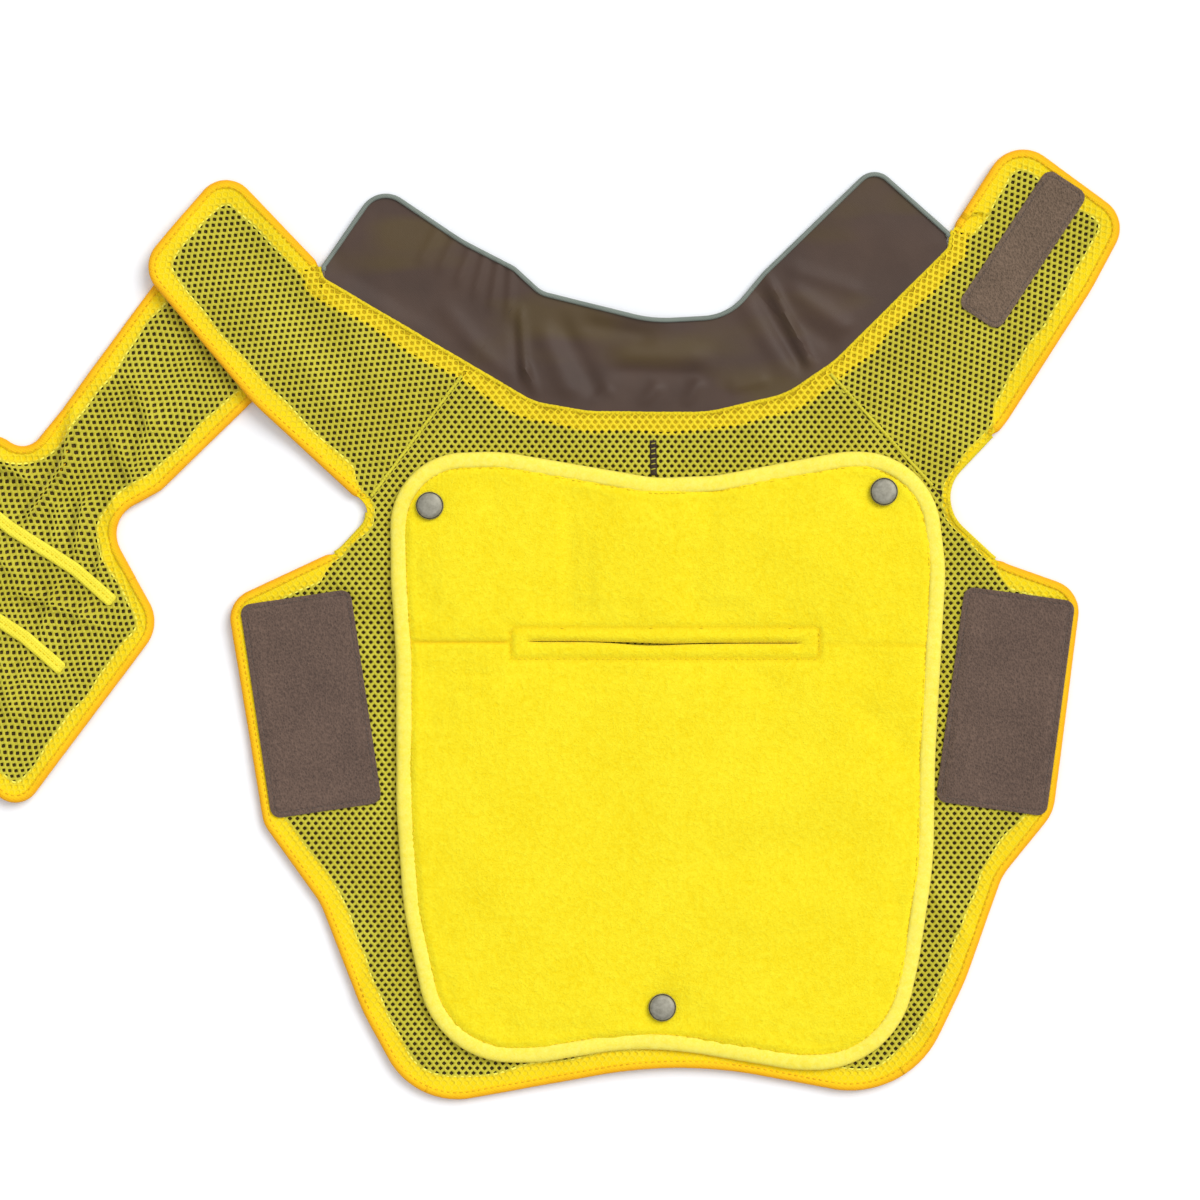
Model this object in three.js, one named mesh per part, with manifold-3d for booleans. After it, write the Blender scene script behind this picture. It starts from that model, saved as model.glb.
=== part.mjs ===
// A small dog's coat laid open on a table, lining side up: a padded fleece liner snapped onto a
// mesh-lined back panel, two side flaps, two neck straps, a collar, and a belly panel sewn to one strap.
// Millimetres. The dog's neck is towards +Y and the table top is Z = 0. The origin is on the table,
// under the middle of the back panel.
import * as THREE from "three";
import { mergeVertices } from "three/addons/utils/BufferGeometryUtils.js";
import Module from "manifold-3d";

const wasm = await Module();
wasm.setup();

// ---- Driving sizes ----
const BACK_LENGTH = 296; // neck seam to hem, along the centre of the back
const CHEST_WIDTH = 252; // between the two flap folds, half way down the back
const GAP = 0.3; // air between two loose layers, and across a fold
const SHELL_THICK = 0.8; // outer fabric
const MEMBRANE_THICK = 0.5; // dark waterproof layer behind the mesh
const LINING_THICK = 1.0; // yellow knitted mesh
const BINDING_WIDTH = 4.6; // tape round the edges of the coat
const FLAP_REACH = 64; // side flap, from its fold to its outer edge
const FLAP_LENGTH = 99; // side flap, along the coat
const PATCH_THICK = 1.2; // hook tape and loop tape
const LOOP_PATCH = { width: 48.5, length: 96, corner: 4 };
const STRAP_PATCH = { width: 21, length: 72, corner: 4 };
const COLLAR_THICK = 1.5; // two layers of taffeta
const PIPING_WIDTH = 3;
const PAD_BACKING_THICK = 1.5;
const PAD_FLEECE_THICK = 3.5;
const PAD_BINDING_WIDTH = 5.5;
const SLOT = { frameLength: 138, frameWidth: 15, slitLength: 123, slitWidth: 1.2, thick: 0.6 };
const SNAP = { capRadius: 6.25, capHeight: 2.2, socketRadius: 5.75, knobRadius: 2.3, postRadius: 1.3 };
const BELLY = { halfWaist: 26, halfSpan: 68.5, wingStart: 22, wingEnd: 122, tabWidth: 18 };
const TAPE = { width: 5.4, thick: 1.0, halfLength: 46, first: 26, second: 64 };
const HANGER = { width: 3.2, length: 15, thick: 0.5 };
const TONGUE_DEPTH = 26; // single-layer end of the belly panel, sewn under the left strap

// ---- Levels above the table ----
const MEMBRANE_Z = SHELL_THICK + GAP;
const LINING_Z = MEMBRANE_Z + MEMBRANE_THICK + GAP;
const LINING_TOP = LINING_Z + LINING_THICK;
const BINDING_TOP = LINING_TOP + GAP;
const LIFT = SHELL_THICK + GAP; // a panel that lies on one more layer of fabric
const PAD_Z = LINING_TOP + GAP;
const FLEECE_Z = PAD_Z + PAD_BACKING_THICK + GAP;
const FLEECE_TOP = FLEECE_Z + PAD_FLEECE_THICK;

// ---- Anchors that the outlines hang from ----
const NECK_Y = BACK_LENGTH / 2;
const HEM_Y = -BACK_LENGTH / 2;
const SIDE_X = CHEST_WIDTH / 2;
const FLAP_TOP = NECK_Y - 83;
const FLAP_LOW = FLAP_TOP - FLAP_LENGTH;
const FLAP_X = SIDE_X + FLAP_REACH;
const PAD_X = 3.5; // the liner was snapped on a little to the right

const MATERIALS = {
  shell: [0xf2c400, 0.8, 0],
  membrane: [0x2a2018, 0.7, 0],
  mesh: [0xd8cf2a, 0.75, 0],
  binding: [0xfcc20a, 0.65, 0],
  taffeta: [0x57483f, 0.55, 0],
  piping: [0x6b736e, 0.6, 0],
  patch: [0x66544b, 0.95, 0],
  fleece: [0xffe91e, 0.95, 0],
  liner_binding: [0xfff06a, 0.8, 0],
  tape: [0xf1e23a, 0.8, 0],
  hanger: [0x4a4436, 0.85, 0],
  snap_metal: [0x8f8d84, 0.35, 0.9],
};

// An outline is a list of corners [x, y, radius], counter-clockwise. Each corner becomes an arc.
const cornerAt = (p, q, r) => {
  const before = new THREE.Vector2(q[0] - p[0], q[1] - p[1]).normalize();
  const after = new THREE.Vector2(r[0] - q[0], r[1] - q[1]).normalize();
  return { before, after, turn: Math.atan2(before.cross(after), before.dot(after)) };
};

const around = (corners, i) => {
  const n = corners.length;
  return [corners[(i + n - 1) % n], corners[i], corners[(i + 1) % n]];
};

// The points of an outline, with its corners rounded.
function rounded(corners, step = Math.PI / 12) {
  const points = [];
  corners.forEach((corner, i) => {
    const { before, turn } = cornerAt(...around(corners, i));
    const radius = corner[2];
    const reach = radius * Math.tan(Math.abs(turn) / 2);
    if (reach < 0.01) {
      points.push(new THREE.Vector2(corner[0], corner[1]));
      return;
    }
    const pieces = Math.max(1, Math.ceil(Math.abs(turn) / step));
    const start = new THREE.Vector2(corner[0], corner[1]).addScaledVector(before, -reach);
    const side = Math.sign(turn);
    const centre = start.clone().add(new THREE.Vector2(-before.y, before.x).multiplyScalar(side * radius));
    for (let k = 0; k <= pieces; k++) {
      const spoke = start.clone().sub(centre);
      points.push(spoke.rotateAround(new THREE.Vector2(), (turn * k) / pieces).add(centre));
    }
  });
  return points;
}

// The outline moved inwards by a distance, or outwards by a negative one, with its arcs kept concentric.
function inset(corners, distance) {
  return corners.map((corner, i) => {
    const { before, after, turn } = cornerAt(...around(corners, i));
    const bisector = new THREE.Vector2(-before.y - after.y, before.x + after.x).normalize();
    const travel = distance / Math.cos(turn / 2);
    const radius = Math.max(0.5, corner[2] - Math.sign(turn) * distance);
    return [corner[0] + bisector.x * travel, corner[1] + bisector.y * travel, radius];
  });
}

const rectangle = (length, width, radius) => [
  [-length / 2, -width / 2, radius],
  [length / 2, -width / 2, radius],
  [length / 2, width / 2, radius],
  [-length / 2, width / 2, radius],
];

function turned(corners, angle, x, y) {
  const cos = Math.cos(angle);
  const sin = Math.sin(angle);
  return corners.map(([a, b, r]) => [x + a * cos - b * sin, y + a * sin + b * cos, r]);
}

// ---- Solids ----
function solidOf(geometry) {
  const bare = new THREE.BufferGeometry();
  const loose = geometry.index ? geometry.toNonIndexed() : geometry;
  bare.setAttribute("position", loose.getAttribute("position"));
  const merged = mergeVertices(bare, 1e-4);
  return new wasm.Manifold(
    new wasm.Mesh({
      numProp: 3,
      vertProperties: merged.attributes.position.array,
      triVerts: new Uint32Array(merged.index.array),
    }),
  );
}

function geometryOf(solid) {
  const mesh = solid.getMesh();
  const position = new THREE.BufferAttribute(new Float32Array(mesh.vertProperties), 3);
  const geometry = new THREE.BufferGeometry().setAttribute("position", position);
  geometry.setIndex(new THREE.BufferAttribute(mesh.triVerts, 1));
  geometry.computeVertexNormals();
  return geometry;
}

// A flat sheet of fabric: an outline between two heights.
function sheet(corners, low, high) {
  const geometry = new THREE.ExtrudeGeometry(new THREE.Shape(rounded(corners)), {
    depth: high - low,
    bevelEnabled: false,
  });
  return solidOf(geometry.translate(0, 0, low));
}

const ring = (corners, width, low, high) =>
  sheet(corners, low, high).subtract(sheet(inset(corners, width), low - 1, high + 1));

// A turned piece, from [radius, z] points that start and end on the axis.
function lathe(profile, x, y, segments = 16) {
  const points = profile.map(([r, z]) => new THREE.Vector2(r, z));
  const geometry = new THREE.LatheGeometry(points, segments).rotateX(Math.PI / 2);
  return solidOf(geometry.translate(x, y, 0));
}

const WIDE = 1200; // larger than the coat, for cutting

// Everything on the left of the line from a to b, kept clear of it by half a gap.
function leftOf([a, b]) {
  const angle = Math.atan2(b[1] - a[1], b[0] - a[0]);
  const box = new THREE.BoxGeometry(WIDE, WIDE, WIDE).translate(0, WIDE / 2 + GAP / 2, 0);
  return solidOf(box.rotateZ(angle).translate(a[0], a[1], 0));
}

const rightOf = ([a, b]) => leftOf([b, a]);

// ---- Folds: each runs so that the part that lifts is on its left ----
const ARMHOLE = { left: [-SIDE_X - 5, NECK_Y - 46], right: [SIDE_X + 5, NECK_Y - 42] };
const FOLDS = {
  left_strap: [
    [-SIDE_X - 5, NECK_Y - 41.8],
    [-SIDE_X + 43.2, NECK_Y + 22.6],
  ],
  right_strap: [
    [SIDE_X - 53.5, NECK_Y + 22.6],
    [SIDE_X + 4, NECK_Y - 40.5],
  ],
  left_flap: [
    [-SIDE_X + 14.4, HEM_Y - 4.6],
    [-SIDE_X - 7.2, NECK_Y - 50],
  ],
  right_flap: [
    [SIDE_X + 8.1, NECK_Y - 48.1],
    [SIDE_X - 7.6, HEM_Y + 5.3],
  ],
};

// ---- The coat's outline: back panel, flaps and straps cut in one ----
const RIGHT_TIP = [
  [SIDE_X + 85.7, NECK_Y + 86.2, 14],
  [SIDE_X + 34.3, NECK_Y + 124, 16],
];
const LEFT_TIP = [
  [-SIDE_X - 68.2, NECK_Y + 109.7, 13],
  [-SIDE_X - 106.2, NECK_Y + 64.6, 14],
];
const STRAP_BEND = [-SIDE_X - 55, NECK_Y + 3.6];
const COAT = [
  [-SIDE_X - 5.9, HEM_Y + 26, 100],
  [-SIDE_X + 17.7, HEM_Y - 17, 35],
  [PAD_X + 6.4, HEM_Y + 4.5, 200],
  [SIDE_X - 14.3, HEM_Y - 14.5, 44],
  [SIDE_X + 12.2, HEM_Y + 40.4, 100],
  [FLAP_X - 35.2, FLAP_LOW - 26.8, 25],
  [FLAP_X - 12.4, FLAP_LOW + 1.6, 20],
  [FLAP_X + 0.4, FLAP_TOP + 2.1, 14],
  [SIDE_X + 28, FLAP_TOP + 15, 25],
  [SIDE_X - 2.1, NECK_Y - 39.9, 18],
  [SIDE_X + 30, NECK_Y - 6, 60],
  [SIDE_X + 69, NECK_Y + 55, 80],
  ...RIGHT_TIP,
  [SIDE_X + 5.9, NECK_Y + 80.2, 50],
  [SIDE_X - 38, NECK_Y + 31.5, 60],
  [32, NECK_Y, 60],
  [-38.8, NECK_Y, 60],
  [-SIDE_X + 20, NECK_Y + 35, 90],
  [-SIDE_X - 25, NECK_Y + 64.5, 30],
  ...LEFT_TIP,
  [...STRAP_BEND, 100],
  [-SIDE_X - 1.6, NECK_Y - 45.9, 8],
  [-SIDE_X - 17, FLAP_TOP + 20.5, 15],
  [-FLAP_X - 2.8, FLAP_TOP - 2.8, 13],
  [-FLAP_X + 13.5, FLAP_LOW - 3.5, 15],
  [-FLAP_X + 39, FLAP_LOW - 39, 30],
];

// The collar's outer edge; its lower corners are hidden in the coat, which cuts them off.
const COLLAR = [
  [-SIDE_X - 24.3, NECK_Y + 10, 0],
  [0, NECK_Y - 18, 0],
  [SIDE_X + 5.4, NECK_Y - 8, 0],
  [SIDE_X + 5.4, NECK_Y + 80.2, 0],
  [SIDE_X - 28.5, NECK_Y + 110.3, 9],
  [47.7, NECK_Y + 62, 12],
  [32, NECK_Y + 43, 25],
  [-2, NECK_Y + 41, 60],
  [-52, NECK_Y + 53.5, 12],
  [-64, NECK_Y + 64.5, 10],
  [-87.3, NECK_Y + 76.5, 80],
  [-SIDE_X + 0.9, NECK_Y + 101.9, 12],
  [-SIDE_X - 24.3, NECK_Y + 65.3, 0],
];

const PAD_HALF = [
  [SIDE_X - 22.5, HEM_Y - 0.5, 38],
  [SIDE_X - 7.1, HEM_Y + 60, 200],
  [SIDE_X - 5.8, 0, 300],
  [SIDE_X - 0.8, NECK_Y - 64, 150],
  [SIDE_X - 4.5, NECK_Y - 19.5, 31],
  [72, NECK_Y - 17, 60],
];
const PAD = [
  [0, HEM_Y + 12, 120],
  [58, HEM_Y - 0.5, 40],
  ...PAD_HALF,
  [0, NECK_Y - 32, 90],
  ...PAD_HALF.map(([x, y, r]) => [-x, y, r]).reverse(),
  [-58, HEM_Y - 0.5, 40],
].map(([x, y, r]) => [x + PAD_X, y, r]);

const SNAP_SITES = {
  left: [-SIDE_X + 24, NECK_Y - 42.7],
  right: [SIDE_X - 24.3, NECK_Y - 36.4],
  lower: [PAD_X - 1.2, HEM_Y + 28.3],
};

// The belly panel is drawn along its own axis: across, then down from its narrow waist.
const BELLY_ANGLE = THREE.MathUtils.degToRad(-36.87);
const BELLY_WAIST = [-SIDE_X - 139, NECK_Y - 37.8];
const onBelly = (corners) =>
  turned(
    corners.map(([across, down, r]) => [across, -down, r]),
    BELLY_ANGLE,
    ...BELLY_WAIST,
  );
const BELLY_OUTLINE = onBelly([
  [BELLY.halfSpan, BELLY.wingEnd + 4.5, 11],
  [BELLY.halfSpan, BELLY.wingStart - 0.5, 17],
  [BELLY.halfWaist - 6, -0.6, 15],
  [BELLY.halfWaist + 6.1, -26.9, 15],
  [BELLY.halfWaist + 15.6, -88, 0],
  [BELLY.halfWaist + 15.6, -88 - 60, 0],
  [-BELLY.halfWaist, -88 - 60, 0],
  [-BELLY.halfWaist + 1.5, -30, 30],
  [-BELLY.halfWaist + 0.5, -3.5, 10],
  [-BELLY.halfWaist - 14, -3, 12],
  [-BELLY.halfSpan, BELLY.wingStart - 0.5, 17],
  [-BELLY.halfSpan, BELLY.wingEnd + 4.5, 11],
]);
const bellyLine = (across, from, to) => onBelly([[across, from, 0], [across, to, 0]]).map((p) => p.slice(0, 2));
const BELLY_TAB_X = BELLY.halfSpan - BELLY.tabWidth;
FOLDS.near_tab = bellyLine(BELLY_TAB_X, BELLY.wingEnd, BELLY.wingStart).reverse();
FOLDS.far_tab = bellyLine(-BELLY_TAB_X, BELLY.wingEnd, BELLY.wingStart);
// The belly panel folds along the edge of the strap that covers its end.
const strapEdge = new THREE.Vector2(LEFT_TIP[1][0] - STRAP_BEND[0], LEFT_TIP[1][1] - STRAP_BEND[1]).normalize();
const clearOfStrap = new THREE.Vector2(-strapEdge.y, strapEdge.x).multiplyScalar(GAP);
FOLDS.belly_panel = [STRAP_BEND, LEFT_TIP[1]].map(([x, y]) => [x + clearOfStrap.x, y + clearOfStrap.y]);

// ---- Assembly ----
const root = new THREE.Group();

function add(name, solid, material, lift = 0) {
  const [color, roughness, metalness] = MATERIALS[material];
  const look = new THREE.MeshStandardMaterial({ color, roughness, metalness });
  const mesh = new THREE.Mesh(geometryOf(solid), look);
  mesh.name = name;
  mesh.position.z = lift;
  root.add(mesh);
}

const cutTo = (solid, sides) => sides.reduce((left, side) => left.intersect(side), solid);
const below = (y) => rightOf([[0, y], [1, y]]);
const above = (y) => leftOf([[0, y], [1, y]]);

const LINING_INSET = BINDING_WIDTH + GAP;
const coatShell = sheet(COAT, 0, SHELL_THICK);
const coatMembrane = sheet(inset(COAT, LINING_INSET), MEMBRANE_Z, MEMBRANE_Z + MEMBRANE_THICK);
const coatLining = sheet(inset(COAT, LINING_INSET), LINING_Z, LINING_TOP);
const coatBinding = ring(COAT, BINDING_WIDTH, MEMBRANE_Z, BINDING_TOP);
const COLLAR_Z = GAP;
const COLLAR_TOP = COLLAR_Z + COLLAR_THICK;
const aroundCoat = sheet(inset(COAT, -GAP), -1, WIDE);
const collarSheet = sheet(inset(COLLAR, PIPING_WIDTH + GAP), COLLAR_Z, COLLAR_TOP).subtract(aroundCoat);
const collarPiping = ring(COLLAR, PIPING_WIDTH, 0, COLLAR_TOP + GAP).subtract(aroundCoat);

function addCoatPanels() {
  const inner = Object.entries(FOLDS)
    .filter(([name]) => name.endsWith("strap") || name.endsWith("flap"))
    .map(([, fold]) => rightOf(fold));
  const back = (solid) => cutTo(solid, inner);
  const post = { hole: SNAP.postRadius + 2 * GAP, flange: 4 + GAP };
  const holes = (radius) =>
    Object.values(SNAP_SITES)
      .map(([x, y]) => lathe([[0, -1], [radius, -1], [radius, WIDE], [0, WIDE]], x, y))
      .reduce((all, hole) => all.add(hole));
  add("coat_shell", back(coatShell), "shell");
  add("coat_membrane", back(coatMembrane).subtract(holes(post.flange)), "membrane");
  // The binding stops short of the armholes, where the mesh runs out to the edge.
  const armholes = cutTo(sheet(COAT, LINING_Z, LINING_TOP), [above(ARMHOLE.left[1] - 9), below(ARMHOLE.right[1] + 5)]);
  const neck = cutTo(sheet(COAT, LINING_Z, LINING_TOP), [above(NECK_Y - 12)]);
  add("coat_lining", back(coatLining.add(armholes).add(neck)).subtract(holes(post.hole)), "mesh");
  add("hem_binding", cutTo(back(coatBinding), [below(HEM_Y + 25)]), "binding");
  add("collar_centre", back(collarSheet), "taffeta");
  add("collar_centre_piping", back(collarPiping), "piping");
  for (const side of ["left", "right"]) {
    const flap = [leftOf(FOLDS[`${side}_flap`]), below(ARMHOLE[side][1])];
    add(`${side}_flap_shell`, cutTo(coatShell, flap), "shell");
    add(`${side}_flap_lining`, cutTo(coatLining, flap), "mesh");
    add(`${side}_flap_binding`, cutTo(coatBinding, flap), "binding");
    const strap = [leftOf(FOLDS[`${side}_strap`]), above(ARMHOLE[side][1])];
    const lift = side === "left" ? LIFT : 0;
    add(`${side}_strap_shell`, cutTo(coatShell, strap), "shell", lift);
    add(`${side}_strap_membrane`, cutTo(coatMembrane, strap), "membrane", lift);
    add(`${side}_strap_lining`, cutTo(coatLining, strap), "mesh", lift);
    add(`${side}_strap_binding`, cutTo(coatBinding, strap), "binding", lift);
    add(`collar_${side}`, cutTo(collarSheet, strap), "taffeta", lift);
    add(`collar_${side}_piping`, cutTo(collarPiping, strap), "piping", lift);
  }
}

function addPatches() {
  const on = LINING_TOP + GAP;
  const place = (size, angle, x, y, z) => {
    const corners = turned(rectangle(size.width, size.length, size.corner), THREE.MathUtils.degToRad(angle), x, y);
    return sheet(corners, z, z + PATCH_THICK);
  };
  const middle = (FLAP_TOP + FLAP_LOW) / 2;
  add("left_flap_loop_patch", place(LOOP_PATCH, 8.5, -SIDE_X - 29.5, middle + 0.8, on), "patch");
  add("right_flap_loop_patch", place(LOOP_PATCH, -7.8, SIDE_X + 31, middle + 2.7, on), "patch");
  add("right_strap_hook_patch", place(STRAP_PATCH, -33.2, SIDE_X + 39, NECK_Y + 72.8, on), "patch");
  const under = rectangle(STRAP_PATCH.width, STRAP_PATCH.length, STRAP_PATCH.corner);
  const outerSide = turned(under, THREE.MathUtils.degToRad(40), -SIDE_X - 47, NECK_Y + 60);
  add("left_strap_loop_patch", sheet(outerSide, 0, SHELL_THICK), "patch");
  const hanger = turned(rectangle(HANGER.width, HANGER.length, 0.5), 0, -1.6, NECK_Y - 21);
  add("hanger_tape", sheet(hanger, on, on + HANGER.thick), "hanger");
}

function addBelly() {
  const outside = leftOf(FOLDS.belly_panel);
  const between = [outside, rightOf(FOLDS.near_tab), rightOf(FOLDS.far_tab)];
  const binding = ring(BELLY_OUTLINE, BINDING_WIDTH, MEMBRANE_Z, BINDING_TOP);
  const inner = inset(BELLY_OUTLINE, LINING_INSET);
  add("belly_shell", cutTo(sheet(BELLY_OUTLINE, 0, SHELL_THICK), between), "shell");
  add("belly_membrane", cutTo(sheet(inner, MEMBRANE_Z, MEMBRANE_Z + MEMBRANE_THICK), between), "membrane");
  add("belly_lining", cutTo(sheet(inner, LINING_Z, LINING_TOP), between), "mesh");
  const waist = bellyLine(0, 0, 1);
  const cross = onBelly([[0, BELLY.wingEnd - 20, 0], [1, BELLY.wingEnd - 20, 0]]);
  add("belly_near_binding", cutTo(binding, [...between, leftOf(waist), leftOf(cross)]), "binding");
  add("belly_far_binding", cutTo(binding, [...between, rightOf(waist), leftOf(cross)]), "binding");
  add("belly_lower_binding", cutTo(binding, [...between, rightOf(cross)]), "binding");
  const tape = (down, name) => {
    const corners = onBelly(
      rectangle(2 * TAPE.halfLength, TAPE.width, 1).map(([x, y, r]) => [x, down - y, r]),
    );
    add(name, sheet(corners, LINING_TOP + GAP, LINING_TOP + GAP + TAPE.thick), "tape");
  };
  tape(TAPE.first, "belly_upper_tape");
  tape(TAPE.second, "belly_lower_tape");
  for (const side of ["near", "far"]) {
    const tab = [leftOf(FOLDS[`${side}_tab`])];
    add(`${side}_tab_shell`, cutTo(sheet(BELLY_OUTLINE, 0, SHELL_THICK), tab), "shell", LIFT);
    add(`${side}_tab_lining`, cutTo(sheet(inner, LINING_Z, LINING_TOP), tab), "mesh", LIFT);
    add(`${side}_tab_binding`, cutTo(binding, tab), "binding", LIFT);
    const sign = side === "near" ? 1 : -1;
    const middle = [sign * (BELLY.halfSpan - BELLY.tabWidth / 2), (BELLY.wingStart + BELLY.wingEnd) / 2];
    const strip = rectangle(BELLY.tabWidth - 4, BELLY.wingEnd - BELLY.wingStart - 22, 3);
    const corners = onBelly(strip.map(([x, y, r]) => [middle[0] + x, middle[1] - y, r]));
    add(`${side}_tab_hook_strip`, sheet(corners, 0, SHELL_THICK), "patch");
  }
  const deep = clearOfStrap.clone().multiplyScalar(-TONGUE_DEPTH / GAP);
  const end = FOLDS.belly_panel.map(([x, y]) => [x + deep.x, y + deep.y]);
  const tongue = sheet(inset(BELLY_OUTLINE, BINDING_WIDTH), 0, SHELL_THICK);
  add("belly_tongue", cutTo(tongue, [rightOf(FOLDS.belly_panel), leftOf(end)]), "shell");
}

function addPad() {
  const { capRadius, capHeight, socketRadius, knobRadius, postRadius } = SNAP;
  const flangeThick = 0.6;
  const knobLow = LINING_TOP + GAP + flangeThick;
  const knobTop = knobLow + 2.2;
  const socketLow = knobLow + GAP;
  const cavityTop = knobTop + GAP / 2;
  const socketTop = cavityTop + GAP;
  const capLow = FLEECE_TOP + GAP;
  const recess = [
    [0, -1],
    [socketRadius + GAP, -1],
    [socketRadius + GAP, socketTop + GAP],
    [postRadius + GAP, socketTop + GAP],
    [postRadius + GAP, WIDE],
    [0, WIDE],
  ];
  const slit = sheet(turned(rectangle(SLOT.slitLength, SLOT.slitWidth, 0.5), 0, PAD_X, NECK_Y - 104.4), 0, WIDE);
  const cuts = Object.values(SNAP_SITES).reduce((all, [x, y]) => all.add(lathe(recess, x, y)), slit);
  const face = inset(PAD, PAD_BINDING_WIDTH + GAP);
  add("liner_backing", sheet(PAD, PAD_Z, PAD_Z + PAD_BACKING_THICK).subtract(cuts), "fleece");
  add("liner_fleece", sheet(face, FLEECE_Z, FLEECE_TOP).subtract(cuts), "fleece");
  add("liner_binding", ring(PAD, PAD_BINDING_WIDTH, FLEECE_Z, FLEECE_TOP), "liner_binding");
  const frame = turned(rectangle(SLOT.frameLength, SLOT.frameWidth, 1.5), 0, PAD_X, NECK_Y - 104.4);
  add("slot_welt", sheet(frame, FLEECE_TOP + GAP, FLEECE_TOP + GAP + SLOT.thick).subtract(slit), "fleece");
  for (const [site, [x, y]] of Object.entries(SNAP_SITES)) {
    const stud = [
      [0, MEMBRANE_Z],
      [4, MEMBRANE_Z],
      [4, MEMBRANE_Z + MEMBRANE_THICK],
      [postRadius + GAP, MEMBRANE_Z + MEMBRANE_THICK],
      [postRadius + GAP, LINING_TOP + GAP],
      [5, LINING_TOP + GAP],
      [5, knobLow],
      [knobRadius - 0.4, knobLow],
      [knobRadius, (knobLow + knobTop) / 2],
      [knobRadius - 0.4, knobTop],
      [0, knobTop],
    ];
    const socket = [
      [0, cavityTop],
      [knobRadius + GAP, cavityTop],
      [knobRadius + GAP, socketLow],
      [socketRadius, socketLow],
      [socketRadius, cavityTop - GAP],
      [socketRadius - 1.2, socketTop],
      [0, socketTop],
    ];
    const cap = [
      [0, socketTop + GAP],
      [postRadius, socketTop + GAP],
      [postRadius, capLow],
      [capRadius, capLow],
      [capRadius, capLow + 0.2 * capHeight],
      [0.86 * capRadius, capLow + 0.7 * capHeight],
      [0.5 * capRadius, capLow + 0.93 * capHeight],
      [0, capLow + capHeight],
    ];
    add(`snap_stud_${site}`, lathe(stud, x, y), "snap_metal");
    add(`snap_socket_${site}`, lathe(socket, x, y), "snap_metal");
    add(`snap_cap_${site}`, lathe(cap, x, y, 24), "snap_metal");
  }
}

addCoatPanels();
addPatches();
addBelly();
addPad();

export default root;
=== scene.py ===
"""A small dog's coat laid open, lining up, with its fleece liner snapped in."""

import logging
import math
from dataclasses import dataclass
from enum import Enum
from typing import Callable, Optional, Sequence

import bpy
import numpy as np
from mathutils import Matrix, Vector, geometry
from mathutils.bvhtree import BVHTree
from mathutils.kdtree import KDTree


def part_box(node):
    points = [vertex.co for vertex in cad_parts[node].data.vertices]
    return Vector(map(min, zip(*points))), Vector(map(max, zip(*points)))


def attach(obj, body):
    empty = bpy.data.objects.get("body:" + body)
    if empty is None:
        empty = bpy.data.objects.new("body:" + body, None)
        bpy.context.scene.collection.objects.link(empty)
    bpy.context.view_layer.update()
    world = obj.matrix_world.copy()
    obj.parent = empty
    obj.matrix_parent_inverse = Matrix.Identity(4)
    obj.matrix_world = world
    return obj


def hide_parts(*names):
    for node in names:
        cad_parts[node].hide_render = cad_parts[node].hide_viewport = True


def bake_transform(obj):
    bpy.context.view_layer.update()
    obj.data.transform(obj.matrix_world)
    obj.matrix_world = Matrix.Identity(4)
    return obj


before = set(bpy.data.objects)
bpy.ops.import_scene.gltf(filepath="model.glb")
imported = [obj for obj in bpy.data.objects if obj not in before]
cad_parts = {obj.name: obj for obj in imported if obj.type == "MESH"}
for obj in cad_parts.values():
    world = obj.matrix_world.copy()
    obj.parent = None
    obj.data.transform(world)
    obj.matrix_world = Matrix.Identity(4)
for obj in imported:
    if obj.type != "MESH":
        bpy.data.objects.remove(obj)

LOG = logging.getLogger("dog_coat")
MM = 0.001
NARROWEST_HEM = 4.0
Array = np.ndarray
Pair = tuple[float, float]
Triple = tuple[float, float, float]
Relief = Callable[[Array, Array], Array]
Choice = Callable[[Array], Array]
Piece = bpy.types.Object
Socket = bpy.types.NodeSocket


# --------------------------------------------------------------------------- outlines


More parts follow.
